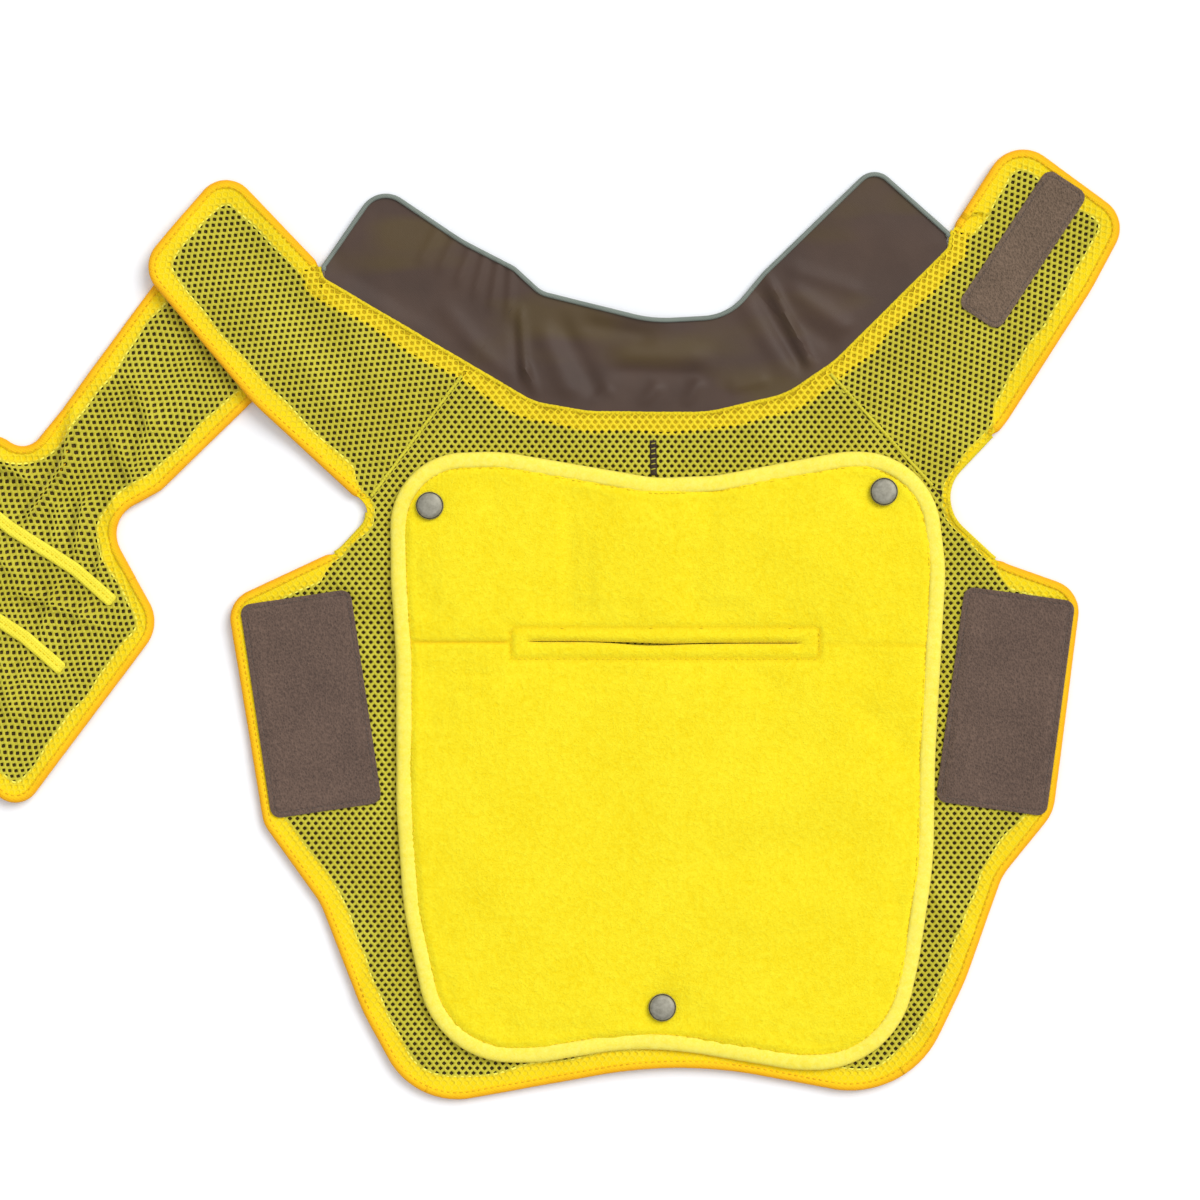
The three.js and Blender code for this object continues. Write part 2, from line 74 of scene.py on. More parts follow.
@dataclass(frozen=True)
class Outline:
    """A pattern edge drawn as corners (x, y, radius) in millimetres, counter-clockwise."""

    corners: tuple[Triple, ...]

    def _turn(self, i: int) -> tuple[Array, Array, float]:
        """The directions before and after corner i, and the angle between them."""
        n = len(self.corners)
        p, q, r = (np.array(self.corners[(i + k) % n][:2]) for k in (-1, 0, 1))
        before = (q - p) / np.linalg.norm(q - p)
        after = (r - q) / np.linalg.norm(r - q)
        cross = before[0] * after[1] - before[1] * after[0]
        return before, after, math.atan2(cross, float(before @ after))

    def _fitted(self) -> list[float]:
        """The corner radii, made smaller where two arcs would meet on an edge."""
        n = len(self.corners)
        radii = [c[2] for c in self.corners]
        slopes = [math.tan(abs(self._turn(i)[2]) / 2) for i in range(n)]
        for i in range(n):
            j = (i + 1) % n
            gap = math.dist(self.corners[i][:2], self.corners[j][:2])
            need = radii[i] * slopes[i] + radii[j] * slopes[j]
            if need > gap * 0.98:
                radii[i] *= gap * 0.98 / need
                radii[j] *= gap * 0.98 / need
        return radii

    def inset(self, distance: float) -> "Outline":
        """The outline moved inwards by a distance in millimetres, with its arcs concentric."""
        made = []
        for i, (x, y, radius) in enumerate(self.corners):
            before, after, turn = self._turn(i)
            bisector = np.array([-before[1] - after[1], before[0] + after[0]])
            bisector /= np.linalg.norm(bisector)
            travel = distance / math.cos(turn / 2)
            grown = max(0.5, radius - math.copysign(distance, turn))
            made.append((x + bisector[0] * travel, y + bisector[1] * travel, grown))
        return Outline(tuple(made))

    def path(self, step: float = 1.5) -> Array:
        """Points along the outline, evenly spaced.

        Args:
            step: distance between points, in millimetres.

        Returns:
            An array of (x, y) points, counter-clockwise, without a repeated last point.
        """
        rough: list[Array] = []
        radii = self._fitted()
        for i, (x, y, _) in enumerate(self.corners):
            before, _, turn = self._turn(i)
            radius = radii[i]
            reach = radius * math.tan(abs(turn) / 2)
            if reach < 0.01:
                rough.append(np.array([x, y]))
                continue
            start = np.array([x, y]) - before * reach
            side = math.copysign(1.0, turn)
            centre = start + np.array([-before[1], before[0]]) * side * radius
            spoke = start - centre
            for angle in np.linspace(0, turn, max(2, int(abs(turn) * radius / 0.8) + 2)):
                c, s = math.cos(angle), math.sin(angle)
                rough.append(centre + np.array([spoke[0] * c - spoke[1] * s, spoke[0] * s + spoke[1] * c]))
        return resample(np.array(rough), step, closed=True)


def resample(points: Array, step: float, closed: bool) -> Array:
    """Evenly spaced points along a polyline."""
    loop = np.vstack([points, points[:1]]) if closed else points
    keep = np.r_[True, np.linalg.norm(np.diff(loop, axis=0), axis=1) > 1e-6]
    loop = loop[keep]
    run = np.r_[0, np.cumsum(np.linalg.norm(np.diff(loop, axis=0), axis=1))]
    count = max(3, int(round(run[-1] / step)))
    at = np.linspace(0, run[-1], count + 1)
    made = np.stack([np.interp(at, run, loop[:, 0]), np.interp(at, run, loop[:, 1])], axis=1)
    return made[:-1] if closed else made


def inside(points: Array, polygon: Array) -> Array:
    """Which points lie in a polygon."""
    x, y = points[:, 0][:, None], points[:, 1][:, None]
    x0, y0 = polygon[:, 0][None], polygon[:, 1][None]
    x1, y1 = np.roll(polygon[:, 0], -1)[None], np.roll(polygon[:, 1], -1)[None]
    with np.errstate(divide="ignore", invalid="ignore"):
        crossing = ((y0 > y) != (y1 > y)) & (x < (x1 - x0) * (y - y0) / (y1 - y0) + x0)
    return crossing.sum(axis=1) % 2 == 1


def distance_to(points: Array, path: Array) -> Array:
    """Each point's distance to the nearest point of a path, in millimetres."""
    best = np.full(len(points), 1e9)
    for i in range(0, len(path), 200):
        gap = points[:, None, :] - path[None, i : i + 200, :]
        best = np.minimum(best, (gap**2).sum(axis=2).min(axis=1))
    return np.sqrt(best)


def unit(vectors: Array) -> Array:
    """The directions of some vectors."""
    return vectors / np.linalg.norm(vectors, axis=1)[:, None]


def leftward(headings: Array) -> Array:
    """The directions to the left of some headings."""
    return np.stack([-headings[:, 1], headings[:, 0]], axis=1)


def places(x: Array, y: Array) -> Array:
    """The (x, y) rows of two arrays of any shape."""
    return np.stack([np.ravel(x), np.ravel(y)], axis=1)


@dataclass(frozen=True)
class Line:
    """A straight line from a to b in millimetres. What folds up lies on its left."""

    a: Pair
    b: Pair

    @property
    def heading(self) -> Array:
        """The line's direction."""
        d = np.array(self.b) - np.array(self.a)
        return d / np.linalg.norm(d)

    def side(self, points: Array) -> Array:
        """Each point's distance to the left of the line."""
        d, gap = self.heading, points - np.array(self.a)
        return d[0] * gap[:, 1] - d[1] * gap[:, 0]

    def across(self, distance: float) -> Triple:
        """The point that far to the left of the line's middle, in metres."""
        d = self.heading
        m = (np.array(self.a) + np.array(self.b)) / 2 + np.array([-d[1], d[0]]) * distance
        return (m[0] * MM, m[1] * MM, 0.0)

    def along(self, points: Array) -> Array:
        """Each point's distance along the line from a."""
        return (points - np.array(self.a)) @ self.heading


class EdgeField:
    """Distance from an outline, looked up on a grid."""

    def __init__(self, outline: Outline, step: float = 2.0) -> None:
        """Measures the distances once.

        Args:
            outline: the pattern edge.
            step: grid spacing in millimetres.
        """
        path = outline.path(1.5)
        self.low = path.min(axis=0) - 8
        self.step = step
        count = np.ceil((np.ptp(path, axis=0) + 16) / step).astype(int) + 1
        gx, gy = np.meshgrid(np.arange(count[0]), np.arange(count[1]), indexing="ij")
        points = np.stack([gx.ravel(), gy.ravel()], axis=1) * step + self.low
        self.grid = distance_to(points, path).reshape(count)

    def __call__(self, x: Array, y: Array) -> Array:
        """The distance at each place, in millimetres."""
        u = np.clip((x - self.low[0]) / self.step, 0, self.grid.shape[0] - 1.001)
        v = np.clip((y - self.low[1]) / self.step, 0, self.grid.shape[1] - 1.001)
        i, j = u.astype(int), v.astype(int)
        a, b = u - i, v - j
        g = self.grid
        return (g[i, j] * (1 - a) + g[i + 1, j] * a) * (1 - b) + (g[i, j + 1] * (1 - a) + g[i + 1, j + 1] * a) * b


# --------------------------------------------------------------------------- relief


def ripple(x: Array, y: Array, angle: float, wave: float, phase: float = 0.0) -> Array:
    """A sine wave over the table, with its crests at an angle in degrees."""
    a = math.radians(angle)
    return np.sin((x * math.cos(a) + y * math.sin(a)) * 2 * math.pi / wave + phase)


def ridge(x: Array, y: Array, a: Pair, b: Pair, width: float, height: float) -> Array:
    """A soft crease from a to b, tapering at both ends, in millimetres."""
    ax, ay = a
    dx, dy = b[0] - ax, b[1] - ay
    length = math.hypot(dx, dy)
    t = ((x - ax) * dx + (y - ay) * dy) / length**2
    off = np.abs((x - ax) * dy - (y - ay) * dx) / length
    taper = np.clip(t * 4, 0, 1) * np.clip((1 - t) * 4, 0, 1)
    taper = taper * taper * (3 - 2 * taper)
    return height * taper * np.exp(-((off / width) ** 2))


def creased(ground: Array, x: Array, y: Array, rows: Sequence[tuple[float, ...]]) -> Array:
    """The ground with creases on it, each given as (x0, y0, x1, y1, width, height)."""
    for x0, y0, x1, y1, width, height in rows:
        ground = ground + ridge(x, y, (x0, y0), (x1, y1), width, height)
    return ground


def smooth(value: Array) -> Array:
    """A smooth step from 0 to 1."""
    t = np.clip(value, 0, 1)
    return t * t * (3 - 2 * t)


# --------------------------------------------------------------------------- mesh building


def make_object(name: str, verts: Array, faces: Sequence[Sequence[int]] | Array) -> Piece:
    """A new mesh object from points in millimetres."""
    mesh = bpy.data.meshes.new(name)
    flat = (np.asarray(verts, float) * MM).tolist()
    mesh.from_pydata(flat, [], faces.tolist() if isinstance(faces, Array) else list(faces))
    mesh.validate()
    mesh.update()
    made = bpy.data.objects.new(name, mesh)
    bpy.context.scene.collection.objects.link(made)
    mesh.polygons.foreach_set("use_smooth", np.ones(len(mesh.polygons), bool))
    return made


def deselect() -> None:
    """Leaves nothing selected."""
    for other in bpy.context.selected_objects:
        other.select_set(False)


def only(obj: Piece) -> None:
    """Makes an object the only selected and active one."""
    deselect()
    obj.select_set(True)
    bpy.context.view_layer.objects.active = obj


def triangulate(
    boundary: Array, grid: float, loops: Sequence[Array] = (), seams: Sequence[Array] = (),
) -> tuple[Array, Array]:
    """Fills a polygon with near-even triangles.

    Args:
        boundary: the polygon's points, counter-clockwise, in millimetres.
        grid: spacing of the inner points, in millimetres.
        loops: closed lines whose edges the triangles follow.
        seams: open lines whose edges the triangles follow.

    Returns:
        The (x, y) points and the triangles, all counter-clockwise.
    """
    low, high = boundary.min(axis=0), boundary.max(axis=0)
    xs = np.arange(low[0], high[0], grid)
    ys = np.arange(low[1], high[1], grid * 0.866)
    gx, gy = np.meshgrid(xs, ys)
    gx = gx + (np.arange(len(ys)) % 2)[:, None] * grid / 2
    inner = np.stack([gx.ravel(), gy.ravel()], axis=1)
    inner = inner[inside(inner, boundary)]
    for line in (boundary, *loops, *seams):
        inner = inner[distance_to(inner, line) > grid * 0.5]
    points, edges, base = [], [], 0
    for line, closed in [(boundary, True), *((x, True) for x in loops), *((x, False) for x in seams)]:
        n = len(line)
        edges += [(base + i, base + (i + 1) % n) for i in range(n if closed else n - 1)]
        points.append(line)
        base += n
    cloud = np.vstack([*points, inner])
    made = geometry.delaunay_2d_cdt([Vector(p) for p in cloud], edges, [], 1, 1e-5)
    verts = np.array([tuple(v) for v in made[0]])
    tris = np.array(made[2])
    tris = tris[inside(verts[tris].mean(axis=1), boundary)]
    a, b, c = (verts[tris[:, k]] for k in range(3))
    area = (b[:, 0] - a[:, 0]) * (c[:, 1] - a[:, 1]) - (b[:, 1] - a[:, 1]) * (c[:, 0] - a[:, 0])
    tris[area < 0] = tris[area < 0][:, ::-1]
    return verts, tris[np.abs(area) > 1e-7]


def compact(flat: Array, tris: Array) -> tuple[Array, Array]:
    """The points that some triangles use, and those triangles renumbered."""
    used = np.unique(tris)
    place = np.zeros(len(flat), int)
    place[used] = np.arange(len(used))
    return flat[used], place[tris]


def skin(flat: Array, tris: Array, top: Array, under: Array) -> tuple[Array, list[tuple[int, ...]]]:
    """The points and faces of a closed skin: a top, an underside and the rim between them."""
    n = len(flat)
    owned = {(int(t[i]), int(t[(i + 1) % 3])) for t in tris for i in range(3)}
    faces = [tuple(t) for t in tris] + [tuple(t[::-1] + n) for t in tris]
    faces += [(b, a, a + n, b + n) for a, b in owned if (b, a) not in owned]
    return np.vstack([np.column_stack([flat, top]), np.column_stack([flat, under])]), faces


def coordinates(obj: Piece) -> Array:
    """An object's points, in metres."""
    flat = np.zeros(len(obj.data.vertices) * 3)
    obj.data.vertices.foreach_get("co", flat)
    return flat.reshape(-1, 3)


def annotate(obj: Piece, name: str, values: Array) -> None:
    """Writes one number for each point, for the materials to read."""
    obj.data.attributes.new(name, "FLOAT", "POINT").data.foreach_set("value", values)


def shade(obj: Piece, degrees: float = 40.0) -> Piece:
    """Shades a piece smooth, with its sharp rims kept sharp."""
    only(obj)
    bpy.ops.object.shade_smooth_by_angle(angle=math.radians(degrees))
    return obj


class Pattern:
    """A cut-out shape, the seams that divide it, and the ground it lies on."""

    def __init__(
        self, outline: Outline, relief: Relief, edge: EdgeField, seams: Sequence[Array] = (), grid: float = 5.0,
    ) -> None:
        """Keeps the shape and its seams."""
        self.outline, self.relief, self.edge, self.seams = outline, relief, edge, tuple(seams)
        self.grid = grid
        self.narrow: Relief = lambda x, y: np.zeros(np.shape(x))
        self._flats: dict[tuple, tuple[Array, Array]] = {}

    def flat(self, inset: float, inner: float, grid: float) -> tuple[Array, Array]:
        """The triangles between two insets of the outline; no inner inset means the whole shape."""
        key = (inset, inner, grid)
        if key not in self._flats:
            loops = [self._loop(inner)] if inner else []
            verts, tris = triangulate(self._loop(inset), grid, loops, self.seams)
            if inner:
                tris = tris[~inside(verts[tris].mean(axis=1), loops[0])]
            self._flats[key] = (verts, tris)
        return self._flats[key]

    def width(self, x: Array, y: Array, distance: float) -> Array:
        """The hem's width at each place: uneven, and narrow round the armholes."""
        waver = 0.6 * ripple(x, y, 15, 33, 0.4) + 0.3 * ripple(x, y, 80, 17, 1.3)
        return distance * (1 - 0.62 * self.narrow(x, y)) + waver

    def _loop(self, distance: float) -> Array:
        """The outline moved inwards, wavering where it is the inner edge of the hem."""
        path = self.outline.inset(distance).path(2.0)
        if distance < NARROWEST_HEM:
            return path
        path = path[self.edge(*path.T) > distance - 1.0]
        x, y = path.T
        inward = np.stack([self.edge(x + 2, y) - self.edge(x - 2, y),
                           self.edge(x, y + 2) - self.edge(x, y - 2)], axis=1)
        inward /= np.linalg.norm(inward, axis=1)[:, None] + 1e-6
        step = np.clip(self.width(x, y, distance) - self.edge(x, y), 1.6 - distance, 3.0)
        return resample(path + inward * step[:, None], 2.0, True)

    def cloth(
        self, name: str, keep: Choice, low: float, high: float, inset: float, inner: float = 0.0,
        grid: float = 0.0, sink: float = 0.0,
    ) -> Optional[Piece]:
        """A closed sheet that follows the ground.

        Args:
            name: the piece's name.
            keep: says which triangles belong to the piece, by their centres.
            low: height of the underside above the ground.
            high: height of the top above the ground.
            inset: how far inside the outline its edge lies.
            inner: how far inside the outline its inner edge lies, for a band.
            grid: spacing of its inner points, or the pattern's own.
            sink: how far a band dips towards its inner edge.

        Returns:
            The finished object, or nothing if no triangle is kept.
        """
        flat, tris = self.flat(inset, inner, grid or self.grid)
        tris = tris[keep(flat[tris].mean(axis=1))]
        if not len(tris):
            return None
        flat, tris = compact(flat, tris)
        x, y = flat.T
        ground = self.relief(x, y)
        if sink:
            ground = ground - sink * smooth((self.edge(x, y) - self.width(x, y, inner) + 4.5) / 4.5)
        return shade(make_object(name, *skin(flat, tris, ground + high, ground + low)))

    def area(self, keep: Choice, inset: float = 0.6) -> tuple[Pair, float]:
        """The flat size and area of what is kept, in metres."""
        flat, tris = self.flat(inset, 0.0, self.grid)
        tris = tris[keep(flat[tris].mean(axis=1))]
        a, b, c = (flat[tris[:, k]] for k in range(3))
        total = np.abs((b - a)[:, 0] * (c - a)[:, 1] - (b - a)[:, 1] * (c - a)[:, 0]).sum() / 2
        return span(flat[np.unique(tris)]), float(total) * MM * MM


def sweep(
    name: str, path: Array, profile: Sequence[Pair], relief: Relief, closed: bool, pucker: float = 0.0,
    pitch: float = 4.2, taper: Pair = (0.0, 0.0),
) -> Piece:
    """A roll of cloth or tape swept along a path, its left being inwards.

    Args:
        name: the piece's name.
        path: evenly spaced points, in millimetres.
        profile: (inward, up) points round the section, counter-clockwise seen along the path.
        relief: height of the ground under a point.
        closed: whether the path returns to its start.
        pucker: depth of the gathers along it, in millimetres.
        pitch: distance between gathers.
        taper: lengths over which its start and its end close down.

    Returns:
        The finished object.
    """
    n = len(path)
    if closed:
        ahead = np.roll(path, -1, axis=0) - np.roll(path, 1, axis=0)
    else:
        ahead = np.gradient(path, axis=0)
    normal = leftward(unit(ahead))
    ground = relief(path[:, 0], path[:, 1])
    run = np.arange(n) * np.linalg.norm(path[1] - path[0])
    gather = np.sin(run * 2 * math.pi / pitch) * 0.6 + np.sin(run * 2 * math.pi / (pitch * 2.37) + 1.3) * 0.4
    gather += 0.5 * np.sin(run * 2 * math.pi / 31.0 + 0.7)
    fade = np.ones(n)
    for length, away in zip(taper, (run, run[-1] - run)):
        if length > 0:
            fade = fade * (smooth(away / length) * 0.72 + 0.28)
    rings = []
    us = np.array([p[0] for p in profile])
    top = max(p[1] for p in profile)
    for u, z in profile:
        share = max(0.0, z / top)
        spot = path + normal * (u + pucker * 0.35 * gather * (u - us.mean()) / np.ptp(us))[:, None]
        mean = path + normal * us.mean()
        spot = mean + (spot - mean) * fade[:, None]
        rings.append(np.column_stack([spot, ground + z * fade + pucker * share * gather]))
    k = len(profile)
    verts = np.stack(rings, axis=1).reshape(-1, 3)
    faces = []
    for i in range(n if closed else n - 1):
        j = (i + 1) % n
        for p in range(k):
            q = (p + 1) % k
            faces.append((i * k + p, j * k + p, j * k + q, i * k + q))
    if not closed:
        faces.append(tuple(range(k)))
        faces.append(tuple(range((n - 1) * k + k - 1, (n - 1) * k - 1, -1)))
    made = make_object(name, verts, faces)
    # the share of the section from its outer side, which the binding's painted shade darkens
    annotate(made, "rolled_edge_shade", np.tile(1 - smooth((us - us.min()) / (0.85 * np.ptp(us))), n))
    return made


def rolled(width: float, low: float, high: float, sides: int = 10) -> list[Pair]:
    """A soft round-topped section that starts just outside the edge."""
    made = []
    for i in range(sides):
        a = 2 * math.pi * i / sides
        x, z = math.cos(a), math.sin(a)
        x, z = math.copysign(abs(x) ** 0.7, x), math.copysign(abs(z) ** 0.7, z)
        made.append((width / 2 - 0.4 - x * width / 2, (low + high) / 2 + z * (high - low) / 2))
    return made[::-1]


def stitches(name: str, spots: Array, headings: Array, heights: Array, length: float, radius: float) -> Piece:
    """Short rounded threads lying on the cloth.

    Args:
        name: the piece's name.
        spots: each thread's middle, in millimetres.
        headings: each thread's direction, as unit vectors.
        heights: each thread's height.
        length: thread length, in millimetres.
        radius: thread radius, in millimetres.

    Returns:
        One object that holds every thread.
    """
    ring = [(math.cos(a), math.sin(a)) for a in np.arange(6) * math.pi / 3]
    local = [(-length / 2, 0, -radius * 0.6)]
    for t in (-0.3, 0.3):
        local += [(t * length, radius * c, radius * s + radius * 0.2) for c, s in ring]
    local.append((length / 2, 0, -radius * 0.6))
    base = np.array(local)
    faces = [(0, 1 + (i + 1) % 6, 1 + i) for i in range(6)]
    faces += [(1 + i, 1 + (i + 1) % 6, 7 + (i + 1) % 6, 7 + i) for i in range(6)]
    faces += [(13, 7 + i, 7 + (i + 1) % 6) for i in range(6)]
    verts, made = [], []
    for k, (spot, head, height) in enumerate(zip(spots, headings, heights)):
        side = np.array([-head[1], head[0]])
        flat = spot + base[:, :1] * head + base[:, 1:2] * side
        verts.append(np.column_stack([flat, base[:, 2] + height]))
        made += [tuple(i + 14 * k for i in f) for f in faces]
    return make_object(name, np.vstack(verts), made)


def stitch_line(
    name: str, path: Array, relief: Relief, height: float, pitch: float = 3.2, length: float = 2.3,
    radius: float = 0.28,
) -> Optional[Piece]:
    """A row of running stitches along an open path, or nothing if the path is too short."""
    spots = resample(path, pitch, closed=False)
    if len(spots) < 3:
        return None
    middle = (spots[:-1] + spots[1:]) / 2
    head = unit(spots[1:] - spots[:-1])
    return stitches(name, middle, head, relief(middle[:, 0], middle[:, 1]) + height, length, radius)


def join(name: str, parts: Sequence[Optional[Piece]]) -> Optional[Piece]:
    """Joins several objects into one, or gives nothing if there are none."""
    real = [p for p in parts if p is not None]
    if not real:
        return None
    only(real[0])
    for part in real[1:]:
        part.select_set(True)
    if len(real) > 1:
        bpy.ops.object.join()
    real[0].name = name
    return real[0]


@dataclass(frozen=True)
class Openwork:
    """The knitted mesh of the lining: staggered round holes in rows."""

    pitch: float = 3.3
    row: float = 2.2
    hole: float = 0.91

    def build(
        self, name: str, region: Array, keep: Choice, angle: float, relief: Relief, level: float, hem: Relief,
        drift: float = 0.0, deep: bool = True,
    ) -> Piece:
        """Knits the mesh over a region.

        Args:
            name: the piece's name.
            region: the polygon to fill, in millimetres.
            keep: says which cell centres belong to this piece.
            angle: the grain's angle in degrees.
            relief: height of the ground.
            level: height of the knit above the ground.
            hem: how far a place lies inside the hem's inner edge, in millimetres.
            drift: how far the rows wander sideways, in millimetres.
            deep: whether the holes have walls.

        Returns:
            The finished object.
        """
        a = math.radians(angle)
        turn = np.array([[math.cos(a), math.sin(a)], [-math.sin(a), math.cos(a)]])
        local = region @ turn.T
        low, high = local.min(axis=0) - 5, local.max(axis=0) + 5
        j = np.arange(math.floor(low[1] / self.row), math.ceil(high[1] / self.row) + 1)
        i = np.arange(math.floor(low[0] / self.pitch), math.ceil(high[0] / self.pitch) + 1)
        gi, gj = np.meshgrid(i, j)
        cx = (gi + (gj % 2) / 2).ravel() * self.pitch
        cy = gj.ravel() * self.row
        cells = np.stack([cx, cy], axis=1)
        world = cells @ turn
        mask = inside(world, region) & keep(world)
        cells = cells[mask]
        half = self.pitch / 2
        tall = (half**2 + self.row**2) / (2 * self.row)
        short = (self.row**2 - half**2) / (2 * self.row)
        hexagon = np.array([(half, -short), (half, short), (0, tall), (-half, short), (-half, -short), (0, -tall)])
        corner = (cells[:, None] + hexagon[None]).reshape(-1, 2)
        key = np.round(corner * 50).astype(np.int64)
        _, first, index = np.unique(key, axis=0, return_index=True, return_inverse=True)
        shared = corner[first]
        index = index.reshape(-1, 6)
        n, m = len(cells), len(shared)
        angles = np.arctan2(hexagon[:, 1], hexagon[:, 0])
        ring = np.stack([np.cos(angles) * self.hole, np.sin(angles) * self.hole * 1.06], axis=1)
        rim = (cells[:, None] + ring[None]).reshape(-1, 2)
        lower = (cells[:, None] + ring[None] * 1.05).reshape(-1, 2)
        flat = [shared @ turn, rim @ turn]
        lift = [np.full(m, level + 0.12), np.full(len(rim), level - 0.16)]
        if deep:
            flat.append(lower @ turn)
            lift.append(np.full(len(lower), level - 0.6))
        points = np.vstack(flat)
        inner_side = hem(points[:, 0], points[:, 1])
        if drift:
            points = self._drifted(points, relief, drift * smooth((inner_side + 3) / 8))
        z = relief(points[:, 0], points[:, 1]) + np.concatenate(lift)
        faces = []
        inner = m + np.arange(n)[:, None] * 6 + np.arange(6)[None]
        for k in range(6):
            q = (k + 1) % 6
            faces.append(np.stack([index[:, k], index[:, q], inner[:, q], inner[:, k]], axis=1))
            if deep:
                down = inner + n * 6
                faces.append(np.stack([inner[:, k], inner[:, q], down[:, q], down[:, k]], axis=1))
        made = make_object(name, np.column_stack([points, z]), np.vstack(faces))
        annotate(made, "hem", 1 - smooth((inner_side + 1.4) / 2.2))
        return made

    @staticmethod
    def _drifted(points: Array, relief: Relief, amount: Array) -> Array:
        """The knit dragged sideways, towards its wrinkles and in slow waves."""
        x, y = points.T
        slope = np.stack([relief(x + 1, y) - relief(x - 1, y), relief(x, y + 1) - relief(x, y - 1)], axis=1) / 2
        wave = np.stack([ripple(x, y, 25, 43, 0.4) + 0.5 * ripple(x, y, 80, 23, 2.0),
                         ripple(x, y, 110, 37, 1.9) + 0.5 * ripple(x, y, 160, 21, 0.9)], axis=1)
        return points + amount[:, None] * (0.8 * wave + 1.1 * np.clip(slope, -0.9, 0.9))


# --------------------------------------------------------------------------- finishes


class Bench:
    """Lays out the nodes of one material."""

    def __init__(self, name: str, sewn: bool = True) -> None:
        """Starts a material; on sewn cloth its pattern keeps to the laid-flat places."""
        self.material = bpy.data.materials.new(name)
        self.material.use_nodes = True
        self.tree = self.material.node_tree
        self.tree.nodes.clear()
        self.out = self.tree.nodes.new("ShaderNodeOutputMaterial")
        self.shader = self.tree.nodes.new("ShaderNodeBsdfPrincipled")
        self.tree.links.new(self.shader.outputs[0], self.out.inputs[0])
        if sewn:
            self.coords = self.attribute("rest", "Vector")
        else:
            self.coords = self.tree.nodes.new("ShaderNodeTexCoord").outputs["Object"]

    def put(self, name: str, value: object) -> None:
        """Sets a fixed value on the shader."""
        self.shader.inputs[name].default_value = value

    def surface(self, roughness: float, specular: float, sheen: float = 0.0, spread: float = 0.5) -> None:
        """Sets how the surface takes the light; spread is the sheen's roughness."""
        self.put("Roughness", roughness)
        self.put("Specular IOR Level", specular)
        self.put("Sheen Weight", sheen)
        self.put("Sheen Roughness", spread)

    def attribute(self, name: str, output: str = "Fac") -> Socket:
        """A value written on the mesh's points."""
        node = self.tree.nodes.new("ShaderNodeAttribute")
        node.attribute_name = name
        return node.outputs[output]

    def link(self, source: Socket, target: Socket) -> None:
        """Joins two sockets."""
        self.tree.links.new(source, target)

    def mapping(self, turn: float = 0.0, scale: Triple = (1, 1, 1)) -> Socket:
        """The pattern's coordinates turned about the vertical and scaled."""
        node = self.tree.nodes.new("ShaderNodeMapping")
        node.inputs["Rotation"].default_value = (0, 0, math.radians(turn))
        node.inputs["Scale"].default_value = scale
        self.link(self.coords, node.inputs["Vector"])
        return node.outputs[0]

    def noise(self, scale: float, detail: float = 3.0, rough: float = 0.5, at: Optional[Socket] = None) -> Socket:
        """A noise value."""
        node = self.tree.nodes.new("ShaderNodeTexNoise")
        node.inputs["Scale"].default_value = scale
        node.inputs["Detail"].default_value = detail
        node.inputs["Roughness"].default_value = rough
        self.link(at or self.coords, node.inputs["Vector"])
        return node.outputs["Fac"]

    def cells(self, scale: float, at: Optional[Socket] = None) -> Socket:
        """The distance to scattered points."""
        node = self.tree.nodes.new("ShaderNodeTexVoronoi")
        node.inputs["Scale"].default_value = scale
        self.link(at or self.coords, node.inputs["Vector"])
        return node.outputs["Distance"]

    def wave(self, scale: float, axis: str, at: Optional[Socket] = None) -> Socket:
        """Parallel ridges across an axis."""
        node = self.tree.nodes.new("ShaderNodeTexWave")
        node.bands_direction = axis
        node.inputs["Scale"].default_value = scale
        node.inputs["Distortion"].default_value = 0.6
        node.inputs["Detail Scale"].default_value = 2.0
        self.link(at or self.coords, node.inputs["Vector"])
        return node.outputs["Fac"]

    def math(self, kind: str, a: object, b: object) -> Socket:
        """One arithmetic step; a and b are sockets or numbers."""
        node = self.tree.nodes.new("ShaderNodeMath")
        node.operation = kind
        for i, value in enumerate((a, b)):
            if isinstance(value, Socket):
                self.link(value, node.inputs[i])
            else:
                node.inputs[i].default_value = float(value)
        return node.outputs[0]

    def weighted(self, *terms: tuple[Socket, float]) -> Socket:
        """The sum of some values, each times its weight."""
        total = None
        for value, weight in terms:
            scaled = self.math("MULTIPLY", value, weight)
            total = scaled if total is None else self.math("ADD", total, scaled)
        return total

    def ramp(self, value: Socket, stops: Sequence[tuple[float, tuple]]) -> Socket:
        """A colour ramp over a value."""
        node = self.tree.nodes.new("ShaderNodeValToRGB")
        elements = node.color_ramp.elements
        while len(elements) < len(stops):
            elements.new(0.5)
        for element, (place, colour) in zip(elements, stops):
            element.position = place
            element.color = (*colour[:3], 1)
        self.link(value, node.inputs[0])
        return node.outputs[0]

    def mix(self, share: object, a: object, b: object) -> Socket:
        """A blend of two colours."""
        node = self.tree.nodes.new("ShaderNodeMix")
        node.data_type = "RGBA"
        if isinstance(share, Socket):
            self.link(share, node.inputs[0])
        else:
            node.inputs[0].default_value = float(share)
        for i, value in ((6, a), (7, b)):
            if isinstance(value, Socket):
                self.link(value, node.inputs[i])
            else:
                node.inputs[i].default_value = (*value[:3], 1)
        return node.outputs[2]

    def bump(self, height: Socket, strength: float, depth: float) -> None:
        """Gives the shader a bump of that depth in metres, on top of any it has."""
        node = self.tree.nodes.new("ShaderNodeBump")
        node.inputs["Strength"].default_value = strength
        node.inputs["Distance"].default_value = depth
        self.link(height, node.inputs["Height"])
        taken = self.shader.inputs["Normal"].links
        if taken:
            self.link(taken[0].from_socket, node.inputs["Normal"])
        self.link(node.outputs[0], self.shader.inputs["Normal"])

    def colour(self, socket: Socket) -> None:
        """Gives the shader its colour."""
        self.link(socket, self.shader.inputs["Base Color"])


